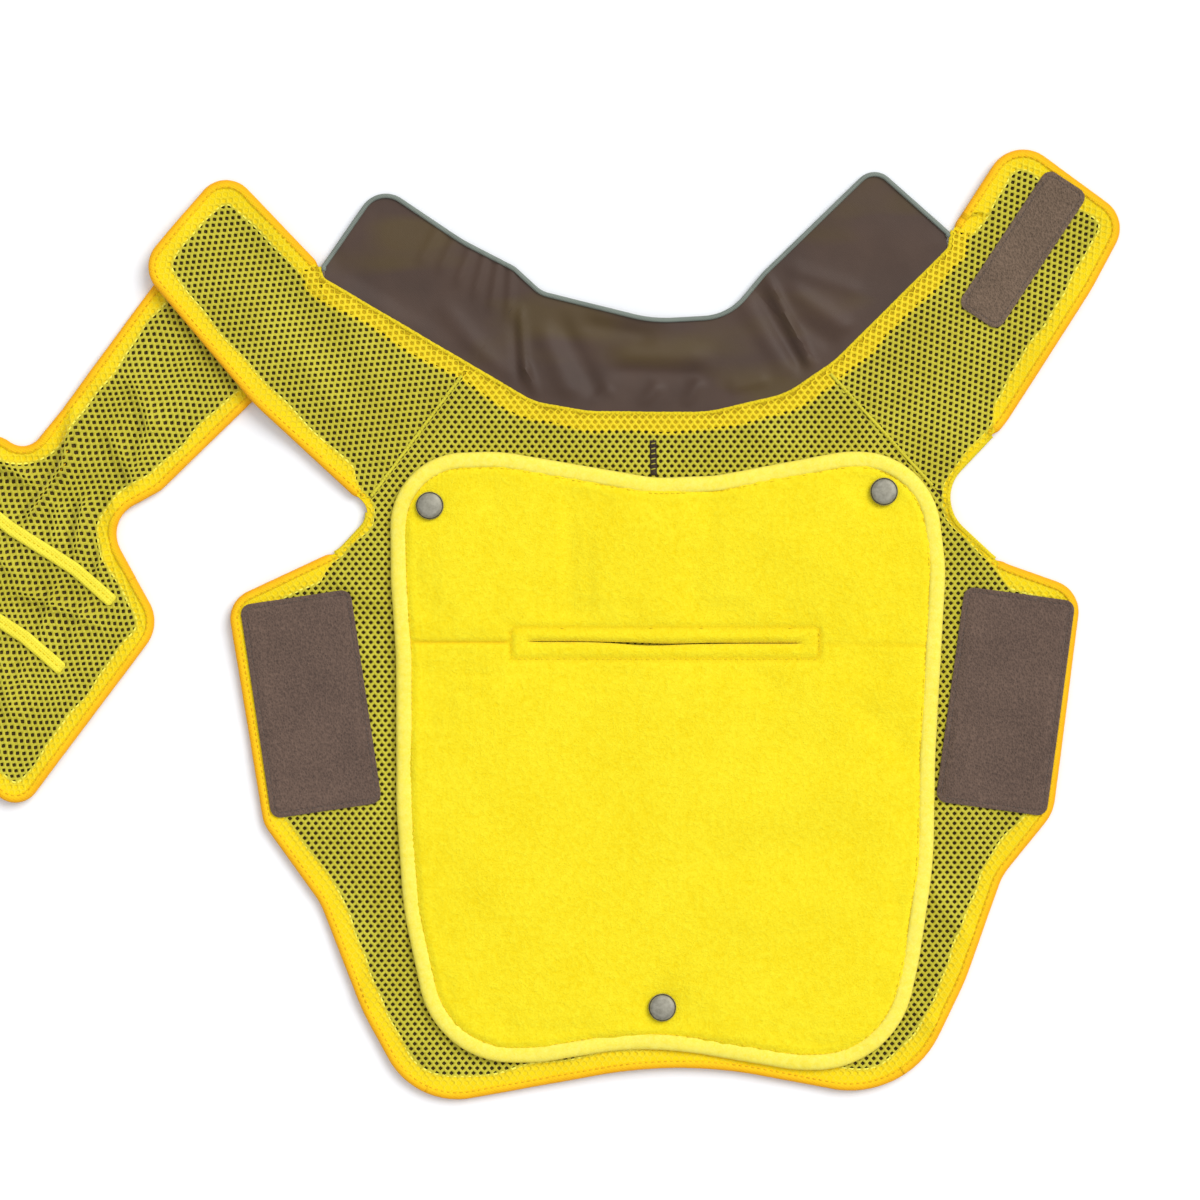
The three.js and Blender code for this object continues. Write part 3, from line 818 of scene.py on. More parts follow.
def srgb(r: float, g: float, b: float) -> Triple:
    """A colour given in display values from 0 to 255, as linear light."""
    made = []
    for value in (r, g, b):
        v = value / 255
        made.append(v / 12.92 if v <= 0.04045 else ((v + 0.055) / 1.055) ** 2.4)
    return (made[0], made[1], made[2])


@dataclass(frozen=True)
class WovenFinish:
    """Plain woven cloth or tape."""

    name: str
    colour: Triple
    shade: Triple
    threads: float = 2600.0
    depth: float = 0.00025
    roughness: float = 0.75
    sheen: float = 0.15
    turn: float = 45.0
    # painted shade: a darker amber laid over the outer part of a rolled edge
    rolled_edge_shade: Optional[Triple] = None

    def build(self) -> bpy.types.Material:
        """Makes the material."""
        b = Bench(self.name)
        warp = b.wave(self.threads / 6.283, "X", b.mapping(self.turn))
        weft = b.wave(self.threads / 6.283, "Y", b.mapping(self.turn))
        weave = b.math("MAXIMUM", warp, weft)
        soft = b.noise(55, 4, 0.6)
        tone = b.weighted((weave, 0.35), (soft, 0.75))
        cloth = b.ramp(tone, [(0.25, self.shade), (0.75, self.colour)])
        # painted shade on the rolled edge's outer side
        if self.rolled_edge_shade:
            cloth = b.mix(b.attribute("rolled_edge_shade"), cloth, self.rolled_edge_shade)
        b.colour(cloth)
        b.bump(b.noise(700, 3, 0.6), 0.35, 0.0004)
        b.bump(weave, 0.5, self.depth)
        b.surface(self.roughness, 0.25, self.sheen, 0.4)
        return b.material


@dataclass(frozen=True)
class KnitFinish:
    """The yarn of the open lining."""

    name: str = "mesh_yarn"
    light: Triple = srgb(205, 196, 58)
    dark: Triple = srgb(176, 164, 26)
    hem_light: Triple = srgb(242, 217, 26)
    hem_dark: Triple = srgb(228, 198, 6)

    def build(self) -> bpy.types.Material:
        """Makes the material."""
        b = Bench(self.name)
        strand = b.noise(1500, 2, 0.6, b.mapping(0, (1, 0.45, 1)))
        patchy = b.noise(38, 3, 0.5)
        tone = b.weighted((strand, 0.6), (patchy, 0.4))
        open_knit = b.ramp(tone, [(0.3, self.dark), (0.68, self.light)])
        over_hem = b.ramp(tone, [(0.3, self.hem_dark), (0.68, self.hem_light)])
        b.colour(b.mix(b.attribute("hem"), open_knit, over_hem))
        b.bump(strand, 0.6, 0.0003)
        b.surface(0.7, 0.3, 0.15)
        return b.material


@dataclass(frozen=True)
class FleeceFinish:
    """Short brushed fleece, with painted shade in the grooves where it is sewn down."""

    name: str
    light: Triple
    dark: Triple
    pile: float = 0.0009
    # whether painted shade darkens the sewn grooves
    sewn: bool = True

    def build(self) -> bpy.types.Material:
        """Makes the material."""
        b = Bench(self.name)
        fibre = b.noise(1100, 5, 0.75)
        tuft = b.noise(420, 4, 0.7)
        cloud = b.noise(48, 4, 0.55)
        tone = b.weighted((fibre, 0.42), (tuft, 0.42), (cloud, 0.16))
        colour = b.ramp(tone, [(0.38, self.dark), (0.6, self.light)])
        if self.sewn:
            # painted shade: a darker amber in the sewn grooves
            deep = tuple(c * k for c, k in zip(self.dark, (0.93, 0.84, 0.6)))
            colour = b.mix(b.math("MULTIPLY", b.attribute("crease"), 0.8), colour, deep)
        b.colour(colour)
        b.bump(tuft, 0.7, self.pile)
        b.bump(fibre, 0.7, self.pile * 0.45)
        b.surface(0.95, 0.05, 0.2, 0.6)
        b.put("Sheen Tint", (1.0, 0.95, 0.4, 1.0))
        return b.material


@dataclass(frozen=True)
class TaffetaFinish:
    """Smooth close-woven cloth with a soft shine, and olive patches of painted reflection."""

    name: str = "collar_taffeta"

    def build(self) -> bpy.types.Material:
        """Makes the material."""
        b = Bench(self.name)
        cloud = b.noise(28, 3, 0.5)
        fine = b.wave(520, "X", b.mapping(33))
        tone = b.weighted((cloud, 0.8), (fine, 0.2))
        plain = b.ramp(tone, [(0.2, srgb(60, 44, 36)), (0.8, srgb(84, 64, 52))])
        # painted reflection: olive-brown patches of yellow light bounced onto the collar
        painted_bounce = b.ramp(b.noise(24, 2, 0.4, b.mapping(0, (0.55, 1.5, 1))), [(0.5, (0, 0, 0)), (0.64, (1, 1, 1))])
        b.colour(b.mix(b.math("MULTIPLY", painted_bounce, 0.55), plain, srgb(84, 68, 28)))
        b.bump(b.noise(90, 3, 0.5), 0.3, 0.0008)
        b.bump(fine, 0.2, 0.00015)
        b.surface(0.52, 0.27, 0.05, 0.35)
        return b.material


@dataclass(frozen=True)
class PileFinish:
    """The looped or hooked face of a fastening tape."""

    name: str
    light: Triple
    dark: Triple
    turn: float = 0.0

    def build(self) -> bpy.types.Material:
        """Makes the material."""
        b = Bench(self.name)
        at = b.mapping(self.turn, (1, 0.7, 1))
        loops = b.cells(1300, at)
        fuzz = b.noise(900, 4, 0.7, at)
        cloud = b.noise(60, 3, 0.5)
        tone = b.weighted((loops, 0.25), (fuzz, 0.6), (cloud, 0.2))
        b.colour(b.ramp(tone, [(0.34, self.dark), (0.7, self.light)]))
        b.bump(loops, 0.8, 0.0006)
        b.bump(fuzz, 0.7, 0.0005)
        b.surface(0.95, 0.15, 0.25)
        return b.material


@dataclass(frozen=True)
class MetalFinish:
    """Dark pressed metal, slightly worn."""

    name: str = "snap_metal"

    def build(self) -> bpy.types.Material:
        """Makes the material."""
        b = Bench(self.name, False)
        scuff = b.noise(420, 5, 0.65)
        b.colour(b.ramp(scuff, [(0.3, srgb(134, 130, 116)), (0.75, srgb(176, 172, 156))]))
        b.link(b.math("MULTIPLY_ADD", scuff, 0.22), b.shader.inputs["Roughness"])
        b.bump(scuff, 0.12, 0.0001)
        b.put("Metallic", 0.75)
        b.put("Specular IOR Level", 0.5)
        return b.material


@dataclass(frozen=True)
class PlainFinish:
    """A coated or spun surface with faint cloudiness."""

    name: str
    colour: Triple
    shade: Triple
    roughness: float = 0.7
    grain: float = 300.0
    depth: float = 0.0002

    def build(self) -> bpy.types.Material:
        """Makes the material."""
        b = Bench(self.name)
        cloud = b.noise(self.grain, 3, 0.55)
        b.colour(b.ramp(cloud, [(0.3, self.shade), (0.7, self.colour)]))
        b.bump(cloud, 0.4, self.depth)
        b.surface(self.roughness, 0.3)
        return b.material


class Finish(Enum):
    """Every finish on the coat, by what it is on."""

    SHELL = WovenFinish("shell_weave", srgb(244, 190, 8), srgb(222, 164, 0))
    # the binding's last colour is painted shade on its rolled outer edge
    BINDING = WovenFinish("edge_binding", srgb(250, 208, 12), srgb(240, 190, 4), 1900.0, 0.0002, 0.75, 0.1, 30.0,
                          srgb(240, 168, 2))
    FACING = WovenFinish("hem_facing", srgb(244, 213, 8), srgb(234, 196, 2), 2100.0, 0.0002, 0.85, 0.0)
    # painted shade: the neck facing is the hem facing's yellow, darkened to stand for the shade along the neckline
    SHADED_NECK_FACING = WovenFinish("shaded_neck_facing", srgb(196, 166, 8), srgb(164, 132, 6), 2100.0, 0.0002, 0.85, 0.0)
    # painted highlight: a pale strip standing for the light caught along the hem facing's inner edge
    HEM_EDGE_HIGHLIGHT = WovenFinish("hem_edge_highlight", srgb(246, 236, 92), srgb(236, 220, 62), 1500.0, 0.0003, 0.8, 0.1)
    NECK_EDGE = WovenFinish("turned_edge", srgb(232, 206, 24), srgb(206, 178, 12), 1500.0, 0.0003, 0.8, 0.1)
    MEMBRANE = PlainFinish("dark_membrane", srgb(88, 68, 16), srgb(66, 50, 12), 0.75)
    MESH = KnitFinish()
    SEAM = WovenFinish("lining_seam", srgb(212, 202, 56), srgb(184, 172, 34), 1500.0, 0.0003, 0.8, 0.1)
    FLEECE = FleeceFinish("liner_fleece_pile", srgb(249, 231, 40), srgb(240, 211, 12))
    LINER_EDGE = FleeceFinish("liner_edge_pile", srgb(247, 234, 104), srgb(244, 222, 62), 0.0004, False)
    COLLAR = TaffetaFinish()
    PIPING = WovenFinish("collar_piping", srgb(126, 134, 124), srgb(100, 108, 100), 2400.0, 0.0002, 0.6, 0.1)
    LOOP = PileFinish("loop_tape", srgb(117, 95, 82), srgb(80, 64, 56))
    HOOK = PileFinish("hook_tape", srgb(130, 108, 90), srgb(88, 72, 58), 33.0)
    TAPE = WovenFinish("elastic_tape", srgb(244, 230, 66), srgb(226, 206, 36), 1700.0, 0.0002, 0.75, 0.1)
    THREAD = PlainFinish("yellow_thread", srgb(240, 188, 8), srgb(220, 164, 2), 0.6, 900.0)
    LINER_THREAD = PlainFinish("liner_thread", srgb(240, 212, 30), srgb(226, 194, 10), 0.7, 900.0)
    BROWN_THREAD = PlainFinish("brown_thread", srgb(112, 96, 86), srgb(90, 76, 68), 0.6, 900.0)
    HANGER = WovenFinish("hanger_tape", srgb(66, 52, 40), srgb(38, 30, 24), 2000.0, 0.0002, 0.8, 0.0)
    METAL = MetalFinish()


class Wardrobe:
    """Makes each finish's material once and puts it on pieces."""

    def __init__(self) -> None:
        """Starts with no material made."""
        self._made: dict[Finish, bpy.types.Material] = {}

    def dress(self, obj: Piece, finish: Finish) -> Piece:
        """Gives a piece its finish.

        Args:
            obj: the piece.
            finish: what it is made of.

        Returns:
            The same piece.
        """
        if finish not in self._made:
            self._made[finish] = finish.value.build()
        obj.data.materials.clear()
        obj.data.materials.append(self._made[finish])
        return obj


WARDROBE = Wardrobe()


# --------------------------------------------------------------------------- the coat's patterns

SIDE_X = 126.0
NECK_Y = 148.0
HEM_Y = -148.0
FLAP_TOP = NECK_Y - 83
FLAP_LOW = FLAP_TOP - 99
FLAP_X = SIDE_X + 64
BELLY_ANGLE = math.radians(-36.87)
BELLY_WAIST = (-SIDE_X - 139, NECK_Y - 37.8)

COAT = Outline((
    (-SIDE_X - 5.9, HEM_Y + 26, 100), (-SIDE_X + 17.7, HEM_Y - 17, 35), (9.9, HEM_Y + 4.5, 200),
    (SIDE_X - 14.3, HEM_Y - 14.5, 44), (SIDE_X + 12.2, HEM_Y + 40.4, 100), (FLAP_X - 35.2, FLAP_LOW - 26.8, 25),
    (FLAP_X - 12.4, FLAP_LOW + 1.6, 20), (FLAP_X + 0.4, FLAP_TOP + 2.1, 14), (SIDE_X + 28, FLAP_TOP + 15, 25),
    (SIDE_X - 2.1, NECK_Y - 39.9, 18), (SIDE_X + 30, NECK_Y - 6, 60), (SIDE_X + 69, NECK_Y + 55, 80),
    (SIDE_X + 85.7, NECK_Y + 86.2, 14), (SIDE_X + 34.3, NECK_Y + 124, 16), (SIDE_X + 5.9, NECK_Y + 80.2, 3),
    (SIDE_X + 5, NECK_Y + 73.2, 3), (SIDE_X - 46, NECK_Y + 22.5, 60), (58, NECK_Y + 7.5, 40),
    (22, NECK_Y - 0.8, 60), (-30, NECK_Y - 0.4, 60), (-55, NECK_Y + 3.8, 30),
    (-SIDE_X - 24.2, NECK_Y + 59.6, 3), (-SIDE_X - 25, NECK_Y + 64.5, 3), (-SIDE_X - 68.2, NECK_Y + 109.7, 13),
    (-SIDE_X - 106.2, NECK_Y + 64.6, 14), (-SIDE_X - 55, NECK_Y + 3.6, 100), (-SIDE_X - 1.6, NECK_Y - 45.9, 8),
    (-SIDE_X - 17, FLAP_TOP + 20.5, 15), (-FLAP_X - 2.8, FLAP_TOP - 2.8, 13),
    (-FLAP_X + 13.5, FLAP_LOW - 3.5, 15), (-FLAP_X + 39, FLAP_LOW - 39, 30),
))

COLLAR = Outline((
    (-SIDE_X - 24.3, NECK_Y + 10, 1), (0, NECK_Y - 18, 1), (SIDE_X + 5.4, NECK_Y - 8, 1),
    (SIDE_X + 5.4, NECK_Y + 80.2, 1), (SIDE_X - 28.5, NECK_Y + 110.3, 9), (47.7, NECK_Y + 62, 12),
    (32, NECK_Y + 43, 25), (-2, NECK_Y + 41, 60), (-52, NECK_Y + 53.5, 12), (-64, NECK_Y + 64.5, 10),
    (-87.3, NECK_Y + 76.5, 80), (-SIDE_X + 0.9, NECK_Y + 101.9, 12), (-SIDE_X - 24.3, NECK_Y + 65.3, 1),
))

LINER = Outline((
    (-99, HEM_Y + 3.5, 42), (-53, HEM_Y + 3.5, 80), (-5, HEM_Y + 11.5, 150), (62, HEM_Y + 0.2, 60),
    (106.2, HEM_Y + 0.4, 44), (117.2, HEM_Y + 48, 150), (123.8, HEM_Y + 93, 200), (124.6, HEM_Y + 140, 200),
    (129.4, NECK_Y - 70, 90), (122.9, NECK_Y - 19.7, 37), (84.6, NECK_Y - 18.4, 60), (26, NECK_Y - 29.5, 50),
    (-1, NECK_Y - 30.5, 60), (-70.7, NECK_Y - 18.5, 80), (-119.7, NECK_Y - 20.2, 33),
    (-119.3, NECK_Y - 76, 100), (-117, NECK_Y - 110, 100), (-116.8, NECK_Y - 178, 200),
    (-113.6, NECK_Y - 224, 150),
))


def on_belly(across: float, down: float) -> Pair:
    """A point of the belly panel from its own axes, in millimetres."""
    c, s = math.cos(BELLY_ANGLE), math.sin(BELLY_ANGLE)
    return (BELLY_WAIST[0] + across * c + down * s, BELLY_WAIST[1] + across * s - down * c)


BELLY_CORNERS: tuple[Triple, ...] = (
    (68.5, 126.5, 11), (68.5, 21.5, 17), (20, -0.6, 15), (32.1, -26.9, 15), (41.6, -88, 1), (41.6, -148, 1),
    (-26, -148, 1), (-24.5, -30, 30), (-25.5, -3.5, 10), (-40, -3, 12), (-68.5, 21.5, 17), (-68.5, 126.5, 11),
)
BELLY = Outline(tuple((*on_belly(a, d), r) for a, d, r in BELLY_CORNERS))

LEFT_STRAP_FOLD = Line((-SIDE_X - 5, NECK_Y - 41.8), (-SIDE_X + 43.2, NECK_Y + 22.6))
RIGHT_STRAP_FOLD = Line((SIDE_X - 53.5, NECK_Y + 22.6), (SIDE_X + 4, NECK_Y - 40.5))
LEFT_FLAP_FOLD = Line((-SIDE_X + 14.4, HEM_Y - 4.6), (-SIDE_X - 7.2, NECK_Y - 50))
RIGHT_FLAP_FOLD = Line((SIDE_X + 8.1, NECK_Y - 48.1), (SIDE_X - 7.6, HEM_Y + 5.3))
BELLY_FOLD = Line((-SIDE_X - 55, NECK_Y + 3.6), (-SIDE_X - 106.2, NECK_Y + 64.6))
TAB_X = 50.5
NEAR_TAB_FOLD = Line(on_belly(TAB_X, 22), on_belly(TAB_X, 122))
FAR_TAB_FOLD = Line(on_belly(-TAB_X, 122), on_belly(-TAB_X, 22))
LEFT_LEVEL = NECK_Y - 46
RIGHT_LEVEL = NECK_Y - 42
COAT_EDGE = EdgeField(COAT)
BELLY_EDGE = EdgeField(BELLY)


# Creases as (x0, y0, x1, y1, width, height); the belly panel's are on its own axes.
COAT_CREASES = (
    (-150, 210, -118, 146, 7.0, 1.9), (-182, 240, -148, 196, 6.0, 1.5), (-164, 178, -136, 140, 5.0, 1.2),
    (-110, 150, -128, 122, 4.0, 1.6), (-116, -84, -134, -122, 4.5, 1.7), (-106, -60, -120, -98, 4.0, 1.3),
    (-118, -128, -92, -150, 4.0, 1.0), (152, 78, 118, 62, 4.5, 1.5), (148, 96, 112, 114, 4.5, 1.4),
    (-150, 76, -118, 58, 4.5, 1.3), (118, -58, 142, -94, 4.5, 1.3), (106, -110, 128, -132, 4.5, 1.2),
    (128, 122, 158, 146, 5.0, 1.5), (150, 172, 184, 214, 6.0, 1.2), (92, 150, 122, 164, 5.0, 1.2),
    (-90, 148, -60, 140, 5.0, 1.0), (36, 142, 70, 128, 5.0, 0.9),
)
BELLY_CREASES = (
    (-24, -40, -6, -2, 2.6, 5.2), (-10, -12, -8, 24, 2.6, 5.0), (-30, -34, -12, 0, 3.2, -2.4),
    (-44, 8, -12, 4, 3.4, 4.4), (6, -6, 20, 22, 3.0, 4.6), (26, 2, 32, 22, 2.4, 3.6),
    (6, -58, 24, -12, 3.8, 3.2), (-12, -62, 18, -44, 3.8, 2.6), (-6, -36, 22, -22, 3.4, 2.8),
    (12, -16, 44, 12, 3.4, 3.4), (-2, 4, 10, 24, 3.4, 2.6), (-50, 34, 10, 44, 3.0, 2.8),
    (0, 50, 52, 36, 3.0, 2.8), (-46, 52, -4, 46, 2.8, 2.2), (-30, 74, -4, 104, 3.8, 2.6),
    (14, 72, 44, 98, 3.8, 2.4), (-34, 28, -16, 60, 2.8, 2.4), (18, 30, 30, 62, 2.8, 2.6),
    (34, 30, 44, 60, 2.8, 2.0), (4, 68, 10, 96, 3.4, 2.0), (28, 68, 34, 84, 2.8, 1.8),
    (-50, 26, 50, 26, 6.5, 1.6), (-50, 64, 50, 64, 6.5, 1.3),
)
COLLAR_CREASES = (
    (-61.5, 198, -59, 158, 2.0, 1.4), (-60, 172, -51, 142, 2.0, 1.8), (-65, 194, -62, 152, 2.2, -0.9),
    (-65, 222, -67, 186, 1.8, 0.9), (-70, 224, -75, 190, 1.8, 1.0), (-75, 226, -83, 196, 1.8, 0.9),
    (-81, 228, -91, 202, 1.8, 0.8), (-88, 232, -99, 208, 1.9, 0.7), (-96, 234, -108, 212, 2.2, 0.6),
    (-100, 200, -64, 156, 4.5, 1.1), (-47, 196, -22, 146, 4.2, -1.3), (-54, 190, -36, 148, 4.6, 1.4),
    (-38, 188, 2, 180, 3.8, -1.2), (-34, 194, 12, 188, 4.6, 1.1), (-26, 166, 30, 164, 3.8, -1.3),
    (-24, 174, 28, 172, 5.0, 1.5), (-8, 148, 2, 162, 3.0, 1.1), (12, 148, 20, 164, 3.0, 1.1),
    (-30, 150, -20, 160, 3.0, 0.9), (47, 213, 76, 156, 2.2, 2.0), (42, 208, 70, 158, 2.6, -1.4),
    (36, 202, 62, 160, 4.2, 1.2), (56, 206, 92, 180, 4.2, 1.5), (60, 192, 88, 170, 3.6, -0.9),
    (54, 214, 96, 200, 3.6, 1.0), (30, 158, 52, 162, 3.4, 1.0),
)
LINER_CREASES = (
    (22, -40, 104, -14, 9, 1.1), (30, -86, 92, -66, 9, 1.0), (10, -60, 104, -40, 8, -0.9),
    (44, -8, 112, 16, 9, -0.7), (40, 96, 104, 66, 10, 0.8), (-96, -30, -60, -84, 11, 0.6),
)


def side_of(line: Line, x: Array, y: Array) -> Array:
    """The distance of each place to the left of a line, in the shape of x."""
    return line.side(places(x, y)).reshape(np.shape(x))


def curl(x: Array, y: Array, edge: Array, lift: float, width: float) -> Array:
    """How far a free edge lifts off the table."""
    uneven = 0.7 + 0.3 * ripple(x, y, 37, 118, 0.5)
    return lift * uneven * (1 - smooth(edge / width))


def coat_relief(x: Array, y: Array) -> Array:
    """The ground under the coat: nearly flat, with the left strap lifted over the belly panel."""
    flat = 0.35 + 0.2 * ripple(x, y, 20, 71) + 0.16 * ripple(x, y, -55, 47, 1.1)
    away = 1 - smooth((y - 112) / 30) * (np.abs(x) < 150) * (y < 236)
    flat = flat + curl(x, y, COAT_EDGE(x, y), 2.3, 20) * np.where(np.abs(x) < 150, away, 1.0)
    along = BELLY_FOLD.along(places(x, y)).reshape(np.shape(x))
    under = smooth((44 + side_of(BELLY_FOLD, x, y)) / 20) * smooth((along + 34) / 30)
    flat = flat + (3.6 * under + 1.0) * smooth(side_of(LEFT_STRAP_FOLD, x, y) / 24)
    return creased(flat, x, y, COAT_CREASES)


def belly_relief(x: Array, y: Array) -> Array:
    """The ground under the belly panel, which lies in loose wrinkles."""
    c, s = math.cos(BELLY_ANGLE), math.sin(BELLY_ANGLE)
    dx, dy = x - BELLY_WAIST[0], y - BELLY_WAIST[1]
    across, down = dx * c + dy * s, dx * s - dy * c
    loose = smooth((down + 95) / 40)
    flat = 0.35 + 0.3 * ripple(across, down, 10, 37) + 0.25 * ripple(across, down, 64, 29, 0.8)
    folds = creased(np.zeros(np.shape(x)), across, down, BELLY_CREASES)
    pulled = smooth((BELLY_EDGE(x, y) - 3) / 7)
    raised = sum(smooth((side_of(fold, x, y) + 5) / 6) for fold in (NEAR_TAB_FOLD, FAR_TAB_FOLD))
    loft = curl(x, y, BELLY_EDGE(x, y), 1.6, 16) * loose + 0.95 * raised
    return np.maximum(flat + folds * loose * (0.3 + 0.7 * pulled), 0.05) + loft


def collar_shape(x: Array, y: Array) -> Array:
    """The collar's pleats and soft gathers."""
    return creased(1.3 + 0.3 * ripple(x, y, 70, 40), x, y, COLLAR_CREASES)


def collar_relief(x: Array, y: Array) -> Array:
    """The collar's ground, which follows the coat where it is sewn to it."""
    tucked = inside(places(x, y), COAT_SHAPE).reshape(np.shape(x))
    rise = np.where(tucked, 0.0, smooth(COAT_EDGE(x, y) / 9))
    return (coat_relief(x, y) + 0.82) * (1 - rise) + np.maximum(collar_shape(x, y), -0.2) * rise


COAT_SHAPE = COAT.path(2.5)

LEFT_FLAP_START = -7.0
RIGHT_FLAP_START = -7.0
TONGUE_START = -20.0
TAB_START = -4.0


def seam_at(line: Line, distance: float, low: float, high: float) -> Array:
    """Points every 4 mm along a line moved to its left, between two places along it."""
    d = line.heading
    start = np.array(line.a) + np.array([-d[1], d[0]]) * distance
    return start + np.arange(low, high, 4.0)[:, None] * d


class Part(Enum):
    """The parts that bend apart, and where each lies on its pattern."""

    BACK = "back"
    LEFT_STRAP = "left_strap"
    RIGHT_STRAP = "right_strap"
    LEFT_FLAP = "left_flap"
    RIGHT_FLAP = "right_flap"
    BELLY = "belly"
    NEAR_TAB = "near_tab"
    FAR_TAB = "far_tab"

    def holds(self, points: Array) -> Array:
        """Which points belong to the part."""
        y = points[:, 1]
        if self is Part.LEFT_STRAP:
            return (LEFT_STRAP_FOLD.side(points) > 0) & (y > LEFT_LEVEL)
        if self is Part.RIGHT_STRAP:
            return (RIGHT_STRAP_FOLD.side(points) > 0) & (y > RIGHT_LEVEL)
        if self is Part.LEFT_FLAP:
            return (LEFT_FLAP_FOLD.side(points) > LEFT_FLAP_START) & (y <= LEFT_LEVEL)
        if self is Part.RIGHT_FLAP:
            return (RIGHT_FLAP_FOLD.side(points) > RIGHT_FLAP_START) & (y <= RIGHT_LEVEL)
        if self is Part.BACK:
            others = (Part.LEFT_STRAP, Part.RIGHT_STRAP, Part.LEFT_FLAP, Part.RIGHT_FLAP)
            return ~np.any([o.holds(points) for o in others], axis=0)
        shown = BELLY_FOLD.side(points) > TONGUE_START
        if self is Part.NEAR_TAB:
            return shown & (NEAR_TAB_FOLD.side(points) > TAB_START)
        if self is Part.FAR_TAB:
            return shown & (FAR_TAB_FOLD.side(points) > TAB_START)
        tabs = (NEAR_TAB_FOLD.side(points) > TAB_START) | (FAR_TAB_FOLD.side(points) > TAB_START)
        return shown & ~tabs


COAT_PATTERN = Pattern(
    COAT,
    coat_relief,
    COAT_EDGE,
    (
        seam_at(LEFT_STRAP_FOLD, 0, -1.5, 84),
        seam_at(RIGHT_STRAP_FOLD, 0, -3, 90),
        seam_at(LEFT_FLAP_FOLD, LEFT_FLAP_START, -12, 250),
        seam_at(RIGHT_FLAP_FOLD, RIGHT_FLAP_START, 0, 260),
    ),
    3.6,
)
BELLY_PATTERN = Pattern(
    BELLY,
    belly_relief,
    BELLY_EDGE,
    (
        seam_at(BELLY_FOLD, TONGUE_START, -10, 90),
        seam_at(NEAR_TAB_FOLD, TAB_START, -12, 116),
        seam_at(FAR_TAB_FOLD, TAB_START, -12, 116),
    ),
    2.2,
)


# --------------------------------------------------------------------------- panels


class EdgeKind(Enum):
    """How an edge of a panel is finished."""

    BOUND = "bound"
    TURNED = "turned"
    NECK = "neck"
    RAW = "raw"


@dataclass(frozen=True)
class Hinge:
    """The fold a panel bends on, and the band over which its cloth bends, in millimetres."""

    parent: str
    fold: Line
    start: float
    end: float


LEFT_STRAP_HINGE = Hinge("back_panel", LEFT_STRAP_FOLD, 0, 14)
RIGHT_STRAP_HINGE = Hinge("back_panel", RIGHT_STRAP_FOLD, 0, 14)


def fasten(obj: Piece, body: str, hinge: Optional[Hinge]) -> None:
    """Fixes a piece to its body; a piece on a hinge is left unattached, its placement baked into its points."""
    if hinge is None:
        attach(obj, body)
        return
    hinge.fold.across(hinge.start)
    hinge.fold.across(hinge.end)
    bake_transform(obj)


def finish_piece(
    obj: Piece, finish: Finish, nodes: Sequence[str], body: str, hinge: Optional[Hinge] = None,
) -> Piece:
    """Dresses a piece, hides the solids it stands for, and fixes it in place.

    Args:
        obj: the piece.
        finish: what it is made of.
        nodes: the solids it stands for.
        body: the body it moves with.
        hinge: the fold it bends on, if it bends.

    Returns:
        The same piece.
    """
    WARDROBE.dress(obj, finish)
    laid = coordinates(obj).astype(np.float32).ravel()
    obj.data.attributes.new("rest", "FLOAT_VECTOR", "POINT").data.foreach_set("vector", laid)
    if nodes:
        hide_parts(*nodes)
    fasten(obj, body, hinge)
    return obj


